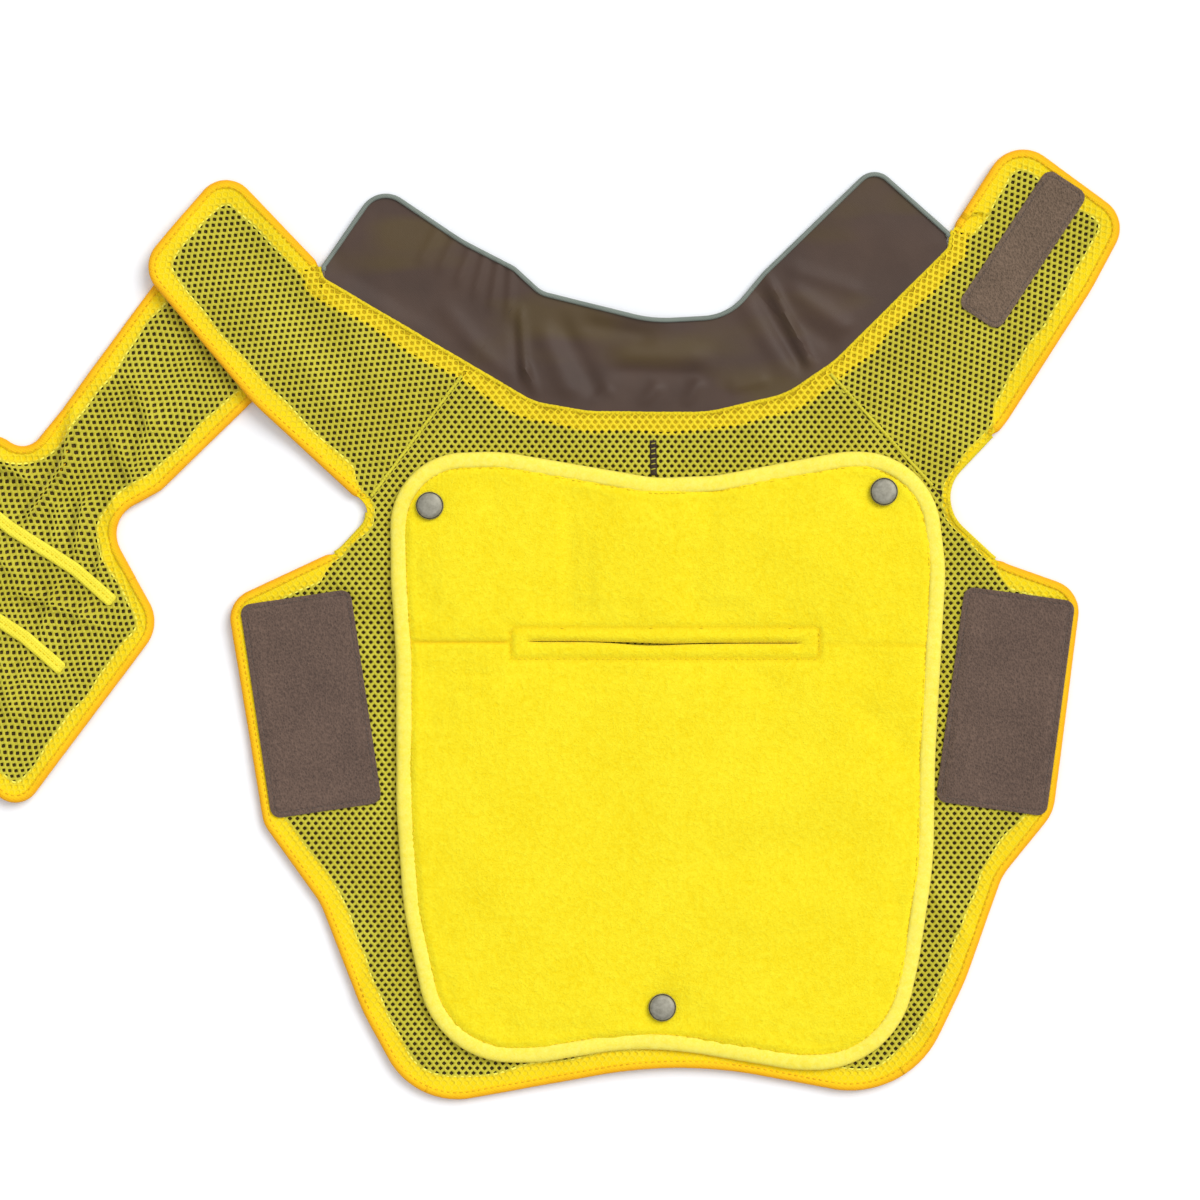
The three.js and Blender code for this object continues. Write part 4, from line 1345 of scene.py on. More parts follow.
@dataclass
class Panel:
    """One area of the coat: shell, dark membrane, hem facing, knitted lining, binding and stitches."""

    part: Part
    body: str
    pattern: Pattern
    nodes: dict[str, tuple[str, ...]]
    kinds: Callable[[Array], list[EdgeKind]]
    grain: float = 0.0
    hinge: Optional[Hinge] = None
    covered_by: Optional[Outline] = None
    facing_width: float = 9.4
    binding_width: float = 4.0
    drift: float = 0.0
    shell_top: float = 0.8
    lining_level: float = 2.6

    def _add(self, obj: Optional[Piece], finish: Finish, role: str = "") -> Optional[Piece]:
        """Finishes one of the panel's pieces, if there is one."""
        if obj is None:
            return None
        return finish_piece(obj, finish, self.nodes.get(role, ()), self.body, self.hinge)

    def build(self) -> None:
        """Makes and fastens every piece of the panel."""
        name, keep, pattern = self.part.value, self.part.holds, self.pattern
        size, area = pattern.area(keep)
        shell = self._add(pattern.cloth(f"{name}_shell_cloth", keep, 0.0, self.shell_top, 0.6),
                          Finish.SHELL, "shell")
        membrane = self._add(pattern.cloth(f"{name}_membrane_cloth", keep, self.shell_top + 0.1,
                                           self.shell_top + 0.35, 3.0), Finish.MEMBRANE, "membrane")
        inner_size, inner_area = pattern.area(keep, 3.0)
        net = self._lining()
        level = self.lining_level
        wide = self.facing_width

        def by_collar(points: Array) -> Array:
            """The part of the hem along the neckline."""
            return keep(points) & (pattern is COAT_PATTERN) & nearest(points, EdgeKind.NECK)

        def apart(points: Array) -> Array:
            """The rest of the hem."""
            return keep(points) & ~by_collar(points)

        hems = [
            self._add(pattern.cloth(f"{name}_hem_facing", apart, level - 0.4, level - 0.03, 0.8, wide, 1.5, 0.42),
                      Finish.FACING),
            # the facing along the neckline takes the darkened copy of the facing's yellow: painted shade
            self._add(pattern.cloth(f"{name}_neck_facing", by_collar, level - 0.8, level - 0.5, 0.8, wide - 1.5),
                      Finish.SHADED_NECK_FACING),
            # a thin pale strip along the facing's inner edge: painted highlight
            self._add(pattern.cloth(f"{name}_hem_edge_highlight", apart, level - 0.5, level - 0.1, wide - 0.5, wide + 0.3),
                      Finish.HEM_EDGE_HIGHLIGHT),
        ]
        hems = [piece for piece in hems if piece is not None]
        self._edges()
        LOG.info("%s made", name)

    def _lining(self) -> Piece:
        """Knits the lining, more simply under the liner."""
        name, level, work = self.part.value, self.lining_level, Openwork()
        fill = self.pattern.outline.inset(1.5).path(3.0)
        hidden = self.covered_by.inset(9).path(3.0) if self.covered_by else None

        def seen(points: Array) -> Array:
            """Cells of this panel in plain view."""
            mask = self.part.holds(points)
            return mask if hidden is None else mask & ~inside(points, hidden)

        def below(points: Array) -> Array:
            """Cells of this panel under the liner."""
            return self.part.holds(points) & inside(points, hidden)

        def hem(x: Array, y: Array) -> Array:
            """How far inside the hem's inner edge a place is."""
            return self.pattern.edge(x, y) - self.pattern.width(x, y, self.facing_width)

        rest = (self.grain, self.pattern.relief, level, hem, self.drift)
        net = work.build(f"{name}_mesh", fill, seen, *rest)
        if hidden is not None:
            plain = work.build(f"{name}_mesh_below", fill, below, *rest, False)
            net = join(f"{name}_mesh", [net, plain])
        return self._add(net, Finish.MESH, "lining")

    def edge_runs(self) -> list[tuple[EdgeKind, Array, tuple[bool, bool]]]:
        """The panel's own stretches of the outline, each with its kind and whether its ends taper."""
        path = self.pattern.outline.path(0.4)
        keep = self.part.holds(path)
        labels = [k if ok else None for k, ok in zip(self.kinds(path), keep)]
        n = len(path)
        breaks = [i for i in range(n) if labels[i] != labels[i - 1]]
        if not breaks:
            return []
        runs = []
        for b, start in enumerate(breaks):
            count = (breaks[(b + 1) % len(breaks)] - start) % n or n
            if labels[start] is not None and count > 8:
                index = [(start + k) % n for k in range(-1, count + 2)]
                ends = (labels[start - 1] is not None, labels[(start + count) % n] is not None)
                runs.append((labels[start], resample(path[index], 1.2, False), ends))
        return runs

    def _edges(self) -> None:
        """Sews the edges: bound, turned or rolled, with their stitches."""
        bound, turned, threads = [], [], []
        top = self.lining_level + 0.7
        ground = self.pattern.relief
        for kind, run, ends in self.edge_runs():
            tag = f"{self.part.value}_{kind.value}"
            taper = tuple(5.0 if end else 0.0 for end in ends)
            if kind is EdgeKind.BOUND:
                profile = rolled(self.binding_width, -0.05, top, 12)
                bound.append(sweep(tag, run, profile, ground, False, 0.16, 3.6, taper))
                threads.append(self._thread(run, self.binding_width - 1.25, top - 0.05))
            elif kind is EdgeKind.TURNED:
                turned.append(sweep(tag, run, rolled(2.2, 0.0, top - 0.6, 8), ground, False, 0.12, 3.1))
            elif kind is EdgeKind.NECK:
                turned.append(sweep(tag, run, rolled(1.9, 0.7, top - 0.8, 8), ground, False, 0.3, 2.3))
        self._add(join(f"{self.part.value}_edge_binding", bound), Finish.BINDING, "binding")
        self._add(join(f"{self.part.value}_turned_edge", turned), Finish.NECK_EDGE)
        self._add(join(f"{self.part.value}_stitches", threads), Finish.THREAD)

    def _thread(self, run: Array, inward: float, height: float) -> Optional[Piece]:
        """A row of stitches inside a stretch of edge."""
        path = run + leftward(unit(np.gradient(run, axis=0))) * inward
        return stitch_line("thread", path, self.pattern.relief, height, 2.8, 1.9, 0.26)


def span(points: Array) -> Pair:
    """The sides of the smallest rectangle round some points, in metres."""
    best = None
    for angle in np.radians(np.arange(0, 90, 2)):
        c, s = math.cos(angle), math.sin(angle)
        size = np.ptp(points @ np.array([[c, -s], [s, c]]), axis=0) * MM
        if best is None or size[0] * size[1] < best[0] * best[1]:
            best = size
    return (float(best[0]), float(best[1]))


def coat_kinds(path: Array) -> list[EdgeKind]:
    """How each point of the coat's outline is finished."""
    n = len(path)
    kinds = [EdgeKind.BOUND] * n
    marks = (
        (EdgeKind.NECK, (132, NECK_Y + 81), (-SIDE_X - 24.5, NECK_Y + 64)),
        (EdgeKind.TURNED, (150, 80), (150, 136)),
        (EdgeKind.TURNED, (-134, 107), (-144, 84)),
    )
    for kind, first, last in marks:
        i, j = (int(((path - np.array(m)) ** 2).sum(axis=1).argmin()) for m in (first, last))
        for k in range((j - i) % n + 1):
            kinds[(i + k) % n] = kind
    return kinds


COAT_RUN = COAT.path(1.5)
COAT_RUN_KINDS = np.array([kind.value for kind in coat_kinds(COAT_RUN)])


def nearest(points: Array, kind: EdgeKind) -> Array:
    """Whether the coat's nearest edge is of one kind."""
    gap = distance_to(points, COAT_RUN[COAT_RUN_KINDS == kind.value])
    return gap < COAT_EDGE(*points.T) + 0.8


def armhole(x: Array, y: Array) -> Array:
    """1 where the coat's nearest edge is a turned one, 0 well away from there."""
    points = places(x, y)
    gap = distance_to(points, COAT_RUN[COAT_RUN_KINDS == EdgeKind.TURNED.value])
    return (1 - smooth((gap - COAT_EDGE(*points.T)) / 7)).reshape(np.shape(x))


COAT_PATTERN.narrow = armhole


def belly_kinds(path: Array) -> list[EdgeKind]:
    """The belly panel is bound all round, apart from its end under the strap."""
    hidden = BELLY_FOLD.side(path) < TONGUE_START + 1
    return [EdgeKind.RAW if h else EdgeKind.BOUND for h in hidden]


class Coat:
    """The coat's back, flaps and straps, which are cut in one outline."""

    seam_width: float = 1.4

    def panels(self) -> list[Panel]:
        """The five panels, each a part of the same pattern."""
        rows = (
            (Part.BACK, "back_panel", "coat", 0.0, None),
            (Part.LEFT_STRAP, "left_strap", "left_strap", -48.0, LEFT_STRAP_HINGE),
            (Part.RIGHT_STRAP, "right_strap", "right_strap", 33.0, RIGHT_STRAP_HINGE),
            (Part.LEFT_FLAP, "left_flap", "left_flap", 0.0,
             Hinge("back_panel", LEFT_FLAP_FOLD, LEFT_FLAP_START, 1.5)),
            (Part.RIGHT_FLAP, "right_flap", "right_flap", 0.0,
             Hinge("back_panel", RIGHT_FLAP_FOLD, RIGHT_FLAP_START, 0.5)),
        )
        made = []
        for part, body, stem, grain, hinge in rows:
            nodes = {role: (f"{stem}_{role}",) for role in ("shell", "membrane", "lining", "binding")}
            if part in (Part.LEFT_FLAP, Part.RIGHT_FLAP):
                nodes.pop("membrane")
            if part is Part.BACK:
                nodes["binding"] = ("hem_binding",)
            covered = LINER if part is Part.BACK else None
            made.append(Panel(part, body, COAT_PATTERN, nodes, coat_kinds, grain, hinge, covered))
        return made

    def build(self) -> None:
        """Makes every panel and the lining's two seams."""
        for panel in self.panels():
            panel.build()
        for side, fold, low, high in (("left", LEFT_STRAP_FOLD, 4, 76), ("right", RIGHT_STRAP_FOLD, 8, 80)):
            path = resample(seam_at(fold, 0.0, low, high), 1.0, False)
            path = path[inside(path, COAT.inset(2.2).path(2.0))]
            width = self.seam_width / 2
            profile = [(-width, 2.2), (width, 2.2), (width, 2.85), (0.25, 3.15), (-0.25, 3.15), (-width, 2.85)]
            seam = sweep(f"{side}_lining_seam", path, profile, coat_relief, False, 0.14, 2.7)
            finish_piece(seam, Finish.SEAM, (), "back_panel")


class Belly:
    """The belly panel, its two folding tabs, and the tapes across it."""

    tape_width: float = 6.0

    def build(self) -> None:
        """Makes the panel, its tabs and its tapes."""
        nodes = {
            "shell": ("belly_shell", "belly_tongue"),
            "membrane": ("belly_membrane",),
            "lining": ("belly_lining",),
            "binding": ("belly_near_binding", "belly_far_binding", "belly_lower_binding"),
        }
        strap = Hinge("left_strap", BELLY_FOLD, -6.0, 8.0)
        middle = Panel(Part.BELLY, "belly_panel", BELLY_PATTERN, nodes, belly_kinds, 53.13, strap,
                       facing_width=8.2, drift=0.55)
        middle.build()
        for part, fold in ((Part.NEAR_TAB, NEAR_TAB_FOLD), (Part.FAR_TAB, FAR_TAB_FOLD)):
            stem = part.value
            nodes = {role: (f"{stem}_{role}",) for role in ("shell", "lining", "binding")}
            hinge = Hinge("belly_panel", fold, TAB_START, 6.0)
            Panel(part, stem, BELLY_PATTERN, nodes, belly_kinds, 53.13, hinge, facing_width=8.2, drift=0.55).build()
        for name, down in (("upper", 26.0), ("lower", 64.0)):
            self._tape(name, down, middle.lining_level)

    def _tape(self, name: str, down: float, level: float) -> None:
        """One raised tape sewn across the panel, with a row of stitches along each side."""
        ends = np.array([on_belly(-46, down), on_belly(-30, down + 0.9), on_belly(-10, down + 1.3),
                         on_belly(8, down - 0.4), on_belly(24, down - 1.5), on_belly(46, down + 0.3)])
        path = resample(resample(ends, 12, False), 1.5, closed=False)
        w = self.tape_width / 2
        section = [(-w, 0), (w, 0), (w - 0.1, 0.9), (w * 0.62, 1.35), (w * 0.3, 1.1), (-w * 0.3, 1.1),
                   (-w * 0.62, 1.35), (-w + 0.1, 0.9)]
        profile = [(u, z + level) for u, z in section]
        tape = sweep(f"belly_{name}_tape_band", path, profile, belly_relief, False, 0.12, 5.0, (1.5, 1.5))
        finish_piece(tape, Finish.TAPE, (f"belly_{name}_tape",), "belly_panel")
        side = leftward(unit(np.gradient(path, axis=0)))
        threads = stitch_line(f"belly_{name}_tape_stitches", path[2:-2] + side[2:-2] * 0.1, belly_relief,
                              level + 1.08, 2.4, 1.7, 0.24)
        finish_piece(threads, Finish.LINER_THREAD, (), "belly_panel")


# --------------------------------------------------------------------------- collar


@dataclass
class Collar:
    """The taffeta collar and its piping, in three parts that follow the straps."""

    thickness: float = 1.0
    tongue: float = 6.5
    piping: float = 2.1
    grid: float = 1.7

    def __post_init__(self) -> None:
        """Lays out the collar's pattern."""
        seams = (seam_at(LEFT_STRAP_FOLD, 0, 30, 220), seam_at(RIGHT_STRAP_FOLD, 0, -130, 60))
        self.pattern = Pattern(COLLAR, collar_relief, EdgeField(COLLAR, 6.0), seams, self.grid)

    def build(self) -> None:
        """Makes the collar's cloth and piping."""
        def left(points: Array) -> Array:
            """What follows the left strap."""
            return LEFT_STRAP_FOLD.side(points) > 0

        def right(points: Array) -> Array:
            """What follows the right strap."""
            return RIGHT_STRAP_FOLD.side(points) > 0

        def centre(points: Array) -> Array:
            """What stays with the back."""
            return ~left(points) & ~right(points)

        self._part("centre", "back_panel", centre, None)
        self._part("left", "left_strap", left, LEFT_STRAP_HINGE)
        self._part("right", "right_strap", right, RIGHT_STRAP_HINGE)

    def _part(self, side: str, body: str, keep: Choice, hinge: Optional[Hinge]) -> None:
        """One part of the collar with its piping."""
        covered = COAT.inset(self.tongue).path(2.0)

        def cut(points: Array) -> Array:
            """What is kept, down to just under the neckline."""
            return keep(points) & ~inside(points, covered)

        sheet = self.pattern.cloth(f"collar_{side}_cloth", cut, 0.0, self.thickness, 1.1)
        finish_piece(sheet, Finish.COLLAR, (f"collar_{side}",), body, hinge)
        size, area = self.pattern.area(cut, 1.1)
        path = COLLAR.path(0.4)
        free = keep(path) & ~inside(path, COAT.inset(2).path(2.0))
        free &= (path[:, 1] > NECK_Y + 63.5) | (path[:, 0] > -SIDE_X - 20)
        free &= (path[:, 1] > NECK_Y + 78.5) | (path[:, 0] < SIDE_X + 3)
        index = np.flatnonzero(free)
        gaps = np.flatnonzero(np.diff(index) > 1)
        if len(gaps):
            index = np.r_[index[gaps[0] + 1 :], index[: gaps[0] + 1]]
        n = len(path)
        index = np.r_[(index[0] - 1) % n, index, (index[-1] + 1) % n, (index[-1] + 2) % n]
        run = resample(path[index], 1.2, False)
        roll = sweep(f"collar_{side}_piping_roll", run, rolled(self.piping, 0.0, 2.5, 10), collar_relief, False, 0.05)
        finish_piece(roll, Finish.PIPING, (f"collar_{side}_piping",), body, hinge)
        LOG.info("collar %s made", side)


# --------------------------------------------------------------------------- patches and small trim


@dataclass
class Patch:
    """A piece of fastening tape with a sewn border."""

    name: str
    node: str
    body: str
    centre: Pair
    size: Pair
    turn: float
    corner: float
    level: float
    thick: float
    finish: Finish
    relief: Relief

    def build(self) -> None:
        """Makes the tape and its stitched border."""
        width, length = self.size
        deselect()
        bpy.ops.mesh.primitive_plane_add(size=1, location=(0, 0, 0))
        obj = bpy.context.object
        obj.name = self.name
        obj.scale = (width * MM, length * MM, 1)
        bpy.ops.object.transform_apply(location=False, rotation=False, scale=True)
        bpy.ops.object.mode_set(mode="EDIT")
        bpy.ops.mesh.select_all(action="SELECT")
        bpy.ops.mesh.bevel(offset=self.corner * MM, segments=5, affect="VERTICES")
        bpy.ops.mesh.extrude_region_move(TRANSFORM_OT_translate={"value": (0, 0, self.thick * MM)})
        bpy.ops.mesh.inset(thickness=0.45 * MM, depth=0.2 * MM)
        bpy.ops.mesh.inset(thickness=1.3 * MM, depth=-0.05 * MM)
        bpy.ops.mesh.inset(thickness=0.35 * MM, depth=-0.22 * MM)
        bpy.ops.mesh.inset(thickness=0.45 * MM, depth=0.3 * MM)
        bpy.ops.mesh.select_all(action="SELECT")
        bpy.ops.mesh.normals_make_consistent(inside=False)
        bpy.ops.mesh.quads_convert_to_tris()
        bpy.ops.object.mode_set(mode="OBJECT")
        shade(obj, 40)
        self._slice(obj)
        obj.rotation_euler = (0, 0, math.radians(self.turn))
        obj.location = (self.centre[0] * MM, self.centre[1] * MM, 0)
        bpy.ops.object.transform_apply(location=True, rotation=True, scale=True)
        flat = coordinates(obj)
        flat[:, 2] += (self.relief(flat[:, 0] / MM, flat[:, 1] / MM) + self.level) * MM
        obj.data.vertices.foreach_set("co", flat.ravel())
        obj.data.update()
        finish_piece(obj, self.finish, (self.node,), self.body)
        self._stitch()
        LOG.info("%s made", self.name)

    def _slice(self, obj: Piece) -> None:
        """Cuts the tape across every few millimetres so that it can follow the cloth."""
        width, length = self.size
        only(obj)
        bpy.ops.object.mode_set(mode="EDIT")
        for axis, extent in ((0, width), (1, length)):
            normal = (1, 0, 0) if axis == 0 else (0, 1, 0)
            for at in np.arange(-extent / 2 + 6, extent / 2 - 3, 6.0):
                bpy.ops.mesh.select_all(action="SELECT")
                spot = tuple(v * at * MM for v in normal)
                bpy.ops.mesh.bisect(plane_co=spot, plane_no=normal)
        bpy.ops.object.mode_set(mode="OBJECT")

    def _stitch(self) -> None:
        """A row of stitches in the border's groove."""
        width, length = self.size
        w, h, r = width / 2 - 2.0, length / 2 - 2.0, max(0.6, self.corner - 2.0)
        loop = Outline(((-w, -h, r), (w, -h, r), (w, h, r), (-w, h, r))).path(2.3)
        ahead = unit(np.roll(loop, -1, axis=0) - np.roll(loop, 1, axis=0))
        a = math.radians(self.turn)
        turn = np.array([[math.cos(a), math.sin(a)], [-math.sin(a), math.cos(a)]])
        spots = loop @ turn + np.array(self.centre)
        heights = self.relief(spots[:, 0], spots[:, 1]) + self.level + self.thick + 0.02
        threads = stitches(f"{self.name}_stitches", spots, ahead @ turn, heights, 1.6, 0.22)
        finish_piece(threads, Finish.BROWN_THREAD, (), self.body)


class Trim:
    """The tapes sewn to the coat."""

    def build(self) -> None:
        """Makes the fastening patches and the hanger tape."""
        middle = (FLAP_TOP + FLAP_LOW) / 2
        on = 2.72
        rows = (
            Patch("left_flap_patch", "left_flap_loop_patch", "left_flap", (-SIDE_X - 29.5, middle + 0.8),
                  (50, 97), 8.5, 4.5, on, 0.95, Finish.LOOP, coat_relief),
            Patch("right_flap_patch", "right_flap_loop_patch", "right_flap", (SIDE_X + 30.5, middle + 2.0),
                  (50, 97.5), -7.8, 4.5, on, 0.95, Finish.LOOP, coat_relief),
            Patch("right_strap_patch", "right_strap_hook_patch", "right_strap", (SIDE_X + 38.3, NECK_Y + 72.4),
                  (22, 73.5), -33.5, 4.5, on, 0.9, Finish.HOOK, coat_relief),
            Patch("left_strap_patch", "left_strap_loop_patch", "left_strap", (-SIDE_X - 47, NECK_Y + 60),
                  (21, 72), 40, 4, -0.95, 0.8, Finish.LOOP, coat_relief),
            Patch("near_tab_strip", "near_tab_hook_strip", "near_tab", on_belly(59.5, 72),
                  (13, 78), math.degrees(BELLY_ANGLE), 3, -0.85, 0.7, Finish.HOOK, belly_relief),
            Patch("far_tab_strip", "far_tab_hook_strip", "far_tab", on_belly(-59.5, 72),
                  (13, 78), math.degrees(BELLY_ANGLE), 3, -0.85, 0.7, Finish.HOOK, belly_relief),
        )
        for patch in rows:
            patch.build()
        path = resample(np.array([(-1.8, NECK_Y - 13.2), (-1.5, NECK_Y - 29.0)]), 1.0, closed=False)
        profile = [(-1.5, 2.6), (1.5, 2.6), (1.4, 3.0), (0, 3.1), (-1.4, 3.0)]
        tape = sweep("hanger_tape_band", path, profile, coat_relief, False, 0.05)
        finish_piece(tape, Finish.HANGER, ("hanger_tape",), "back_panel")
        spots = np.array([(-1.7, NECK_Y - 14.6 - 2.3 * k) for k in range(6)])
        heads = np.tile(np.array([1.0, 0.25]) / math.hypot(1, 0.25), (6, 1))
        bars = stitches("hanger_bar_stitches", spots, heads, coat_relief(spots[:, 0], spots[:, 1]) + 3.05, 2.5, 0.22)
        finish_piece(bars, Finish.MESH, (), "back_panel")


# --------------------------------------------------------------------------- liner


@dataclass
class FleeceLiner:
    """The snapped-in fleece liner: puffed body, bound edge, sewn slot and seams."""

    low: float = 3.7
    high: float = 9.4
    edge_width: float = 6.6
    grid: float = 1.6
    puff: float = 3.0
    filling: float = 3.0
    steps: int = 20
    slot_middle: Pair = (3.5, NECK_Y - 104.6)
    slot_half: Pair = (69.2, 7.0)
    snaps: tuple[Pair, ...] = (
        (-SIDE_X + 24, NECK_Y - 42.7),
        (SIDE_X - 24.3, NECK_Y - 36.4),
        (2.3, HEM_Y + 28.3),
    )

    def frame_gap(self, x: Array, y: Array) -> Array:
        """The signed distance to the stitched frame of the slot, negative inside it."""
        dx, dy = np.abs(x - self.slot_middle[0]), np.abs(y - self.slot_middle[1])
        w, h, r = self.slot_half[0] - 1.5, self.slot_half[1] - 1.5, 1.5
        out = np.hypot(np.maximum(dx - w, 0), np.maximum(dy - h, 0))
        return out + np.minimum(np.maximum(dx - w, dy - h), 0) - r

    def seam_line(self, x: Array) -> Array:
        """Where the seam across the liner runs."""
        return self.slot_middle[1] + 0.25 - 0.005 * (x - self.slot_middle[0])

    def crease(self, x: Array, y: Array) -> Array:
        """How deep each place lies in a sewn line, from 0 to 1."""
        frame_line = np.exp(-((self.frame_gap(x, y) / 0.75) ** 2))
        beyond = smooth((np.abs(x - self.slot_middle[0]) - self.slot_half[0]) / 1.5)
        seam = np.exp(-(((y - self.seam_line(x)) / 0.6) ** 2)) * beyond
        return np.clip(np.maximum(frame_line, seam), 0, 1)

    def surface(self, x: Array, y: Array, edge: Array, puff: Array) -> Array:
        """Height of the liner's top.

        Args:
            x: places across.
            y: places along.
            edge: distance to the outline.
            puff: how far the filling lifts the cloth there.

        Returns:
            The heights, in millimetres.
        """
        z = self.high - 1.9 + 0.4 * puff + 0.25 * ripple(x, y, 15, 83, 0.6) * smooth(edge / 26)
        z = z + creased(np.zeros(np.shape(x)), x, y, LINER_CREASES) * 0.9
        border = 1 - smooth((edge - 3.0) / 5.5)
        z = z - 0.6 * border - 0.75 * np.exp(-(((edge - self.edge_width - 0.2) / 0.75) ** 2))
        z = z - 2.0 * (1 - smooth((edge - self.edge_width + 1.6) / 1.2))
        z = z + 0.25 * np.exp(-(((edge - self.edge_width - 2.6) / 0.8) ** 2))
        z = z + 0.35 * smooth(-self.frame_gap(x, y) / 2) - 1.25 * self.crease(x, y)
        dx, dy = np.abs(x - self.slot_middle[0]), np.abs(y - self.slit_line(x))
        z = z - 2.2 * np.exp(-((dy / 0.9) ** 2)) * smooth((self.slot_half[0] - 5 - dx) / 6)
        for px, py in self.snaps:
            z = z - 1.3 * np.exp(-((np.hypot(x - px, y - py) / 8.5) ** 2))
        return z

    def slit_line(self, x: Array) -> Array:
        """Where the slit runs, wavering a little."""
        t = (x - self.slot_middle[0]) / self.slot_half[0]
        return self.slot_middle[1] + 0.2 + 0.75 * smooth(-t * 1.6) - 0.55 * np.exp(-(((t + 0.05) / 0.25) ** 2))

    def _slit(self) -> Array:
        """The outline of the slit, widest left of its middle."""
        half = self.slot_half[0] - 7.0
        xs = np.linspace(-half, half, 70)
        t = xs / half
        ends = np.clip((1 - np.abs(t)) * 12, 0, 1)
        gape = (0.13 + 0.42 * np.exp(-(((t + 0.16) / 0.2) ** 2)) + 0.12 * np.exp(-(((t - 0.3) / 0.2) ** 2))) * ends
        middle = self.slit_line(xs + self.slot_middle[0])
        lower = np.stack([self.slot_middle[0] + xs, middle - gape - 0.02], axis=1)
        upper = np.stack([self.slot_middle[0] + xs[-2:0:-1], (middle + gape + 0.02)[-2:0:-1]], axis=1)
        return np.vstack([lower, upper])

    def _filled(self, x: Array, y: Array, edge: Array) -> Array:
        """How far the filling lifts the cloth, from a cloth simulation held down at its seams."""
        flat, tris = triangulate(LINER.inset(3).path(5.0), 5.0)
        n = len(flat)
        slab = make_object("liner_filling", *skin(flat, tris, np.full(n, self.filling), np.zeros(n)))
        only(slab)
        slab.data.remesh_voxel_size = 4.0 * MM
        bpy.ops.object.voxel_remesh()
        rest = coordinates(slab) / MM
        held = (LINER_EDGE(rest[:, 0], rest[:, 1]) < 6) | (rest[:, 2] < 1.0)
        held |= np.abs(self.frame_gap(rest[:, 0], rest[:, 1])) < 2.6
        beyond = np.abs(rest[:, 0] - self.slot_middle[0]) > self.slot_half[0]
        held |= beyond & (np.abs(rest[:, 1] - self.seam_line(rest[:, 0])) < 2.6)
        for px, py in self.snaps:
            held |= np.hypot(rest[:, 0] - px, rest[:, 1] - py) < 6
        group = slab.vertex_groups.new(name="sewn")
        group.add([int(i) for i in np.flatnonzero(held)], 1.0, "REPLACE")
        sim = slab.modifiers.new("cloth", "CLOTH")
        sim.settings.vertex_group_mass = "sewn"
        sim.settings.use_pressure = True
        sim.settings.uniform_pressure_force = 4
        sim.settings.effector_weights.gravity = 0
        sim.settings.shrink_min = -0.05
        scene = bpy.context.scene
        for step in range(1, self.steps + 1):
            scene.frame_set(step)
        only(slab)
        bpy.ops.object.modifier_apply(modifier="cloth")
        scene.frame_set(1)
        step_by = coordinates(slab) / MM - rest
        size = np.linalg.norm(step_by, axis=1)
        share = np.minimum(1.0, self.puff / np.maximum(size, 1e-6))
        moved = rest + step_by * share[:, None]
        tree = BVHTree.FromPolygons([Vector(v) for v in moved], [tuple(p.vertices) for p in slab.data.polygons])
        lift = np.zeros(len(x))
        for i, (px, py) in enumerate(zip(x, y)):
            hit = tree.ray_cast(Vector((px, py, 50)), Vector((0, 0, -1)))[0]
            lift[i] = (hit.z - self.filling) if hit else 0.0
        bpy.data.objects.remove(slab, do_unlink=True)
        LOG.info("liner filling lifts the fleece by up to %.2f mm", lift.max())
        return self._evened(x, y, lift)

    @staticmethod
    def _evened(x: Array, y: Array, lift: Array, cell: float = 7.0) -> Array:
        """The lift without its sharp puckers: averages on a grid, blended between."""
        low = np.array([x.min(), y.min()]) - cell
        u, v = (x - low[0]) / cell, (y - low[1]) / cell
        shape = (int(u.max()) + 3, int(v.max()) + 3)
        total, count = np.zeros(shape), np.full(shape, 1e-6)
        np.add.at(total, (np.round(u).astype(int), np.round(v).astype(int)), lift)
        np.add.at(count, (np.round(u).astype(int), np.round(v).astype(int)), 1)
        mean = total / count
        i, j = u.astype(int), v.astype(int)
        a, b = smooth(u - i), smooth(v - j)
        return (mean[i, j] * (1 - a) + mean[i + 1, j] * a) * (1 - b) + (mean[i, j + 1] * (1 - a)
                                                                       + mean[i + 1, j + 1] * a) * b

    def build(self) -> None:
        """Makes the liner's body, edge, slot and threads."""
        slit = self._slit()
        flat, tris = triangulate(LINER.inset(self.edge_width * 0.5).path(1.5), self.grid, [slit])
        tris = tris[~inside(flat[tris].mean(axis=1), slit)]
        flat, tris = compact(flat, tris)
        x, y = flat[:, 0], flat[:, 1]
        edge = LINER_EDGE(x, y)
        puff = self._filled(x, y, edge)
        top = self.surface(x, y, edge, puff)
        under = self.low + 0.3 * (coat_relief(x, y) - 0.35)
        body = shade(make_object("liner_fleece_body", *skin(flat, tris, top, under)), 60)
        # the crease share also sets the fleece's painted shade in the sewn lines
        annotate(body, "crease", np.concatenate([self.crease(x, y), np.zeros(len(flat))]))
        finish_piece(body, Finish.FLEECE, ("liner_fleece", "liner_backing", "slot_welt"), "fleece_liner")
        self._edge_roll()
        self._threads(x, y, top)
        LOG.info("liner: %d points", len(flat))

    def _edge_roll(self) -> None:
        """The fleece strip folded round the liner's edge."""
        w, low, top = self.edge_width, self.low - 0.2, self.high - 1.9
        section = [(-0.3, low + 1.2), (0.3, low), (w - 0.6, low), (w + 0.1, low + 1.2), (w + 0.1, top - 0.9),
                   (w - 0.3, top - 0.3), (w - 1.2, top), (w * 0.5, top + 0.15), (1.7, top - 0.05),
                   (0.7, top - 0.45), (0.0, top - 1.2)]

        def ground(x: Array, y: Array) -> Array:
            """The strip's own rise and fall."""
            return 0.25 * ripple(x, y, 35, 41) + 0.2 * ripple(x, y, -50, 27, 1.0)

        path = LINER.path(1.2)
        roll = shade(sweep("liner_edge_strip", path, section, ground, True, 0.14, 6.3), 60)
        finish_piece(roll, Finish.LINER_EDGE, ("liner_binding",), "fleece_liner")

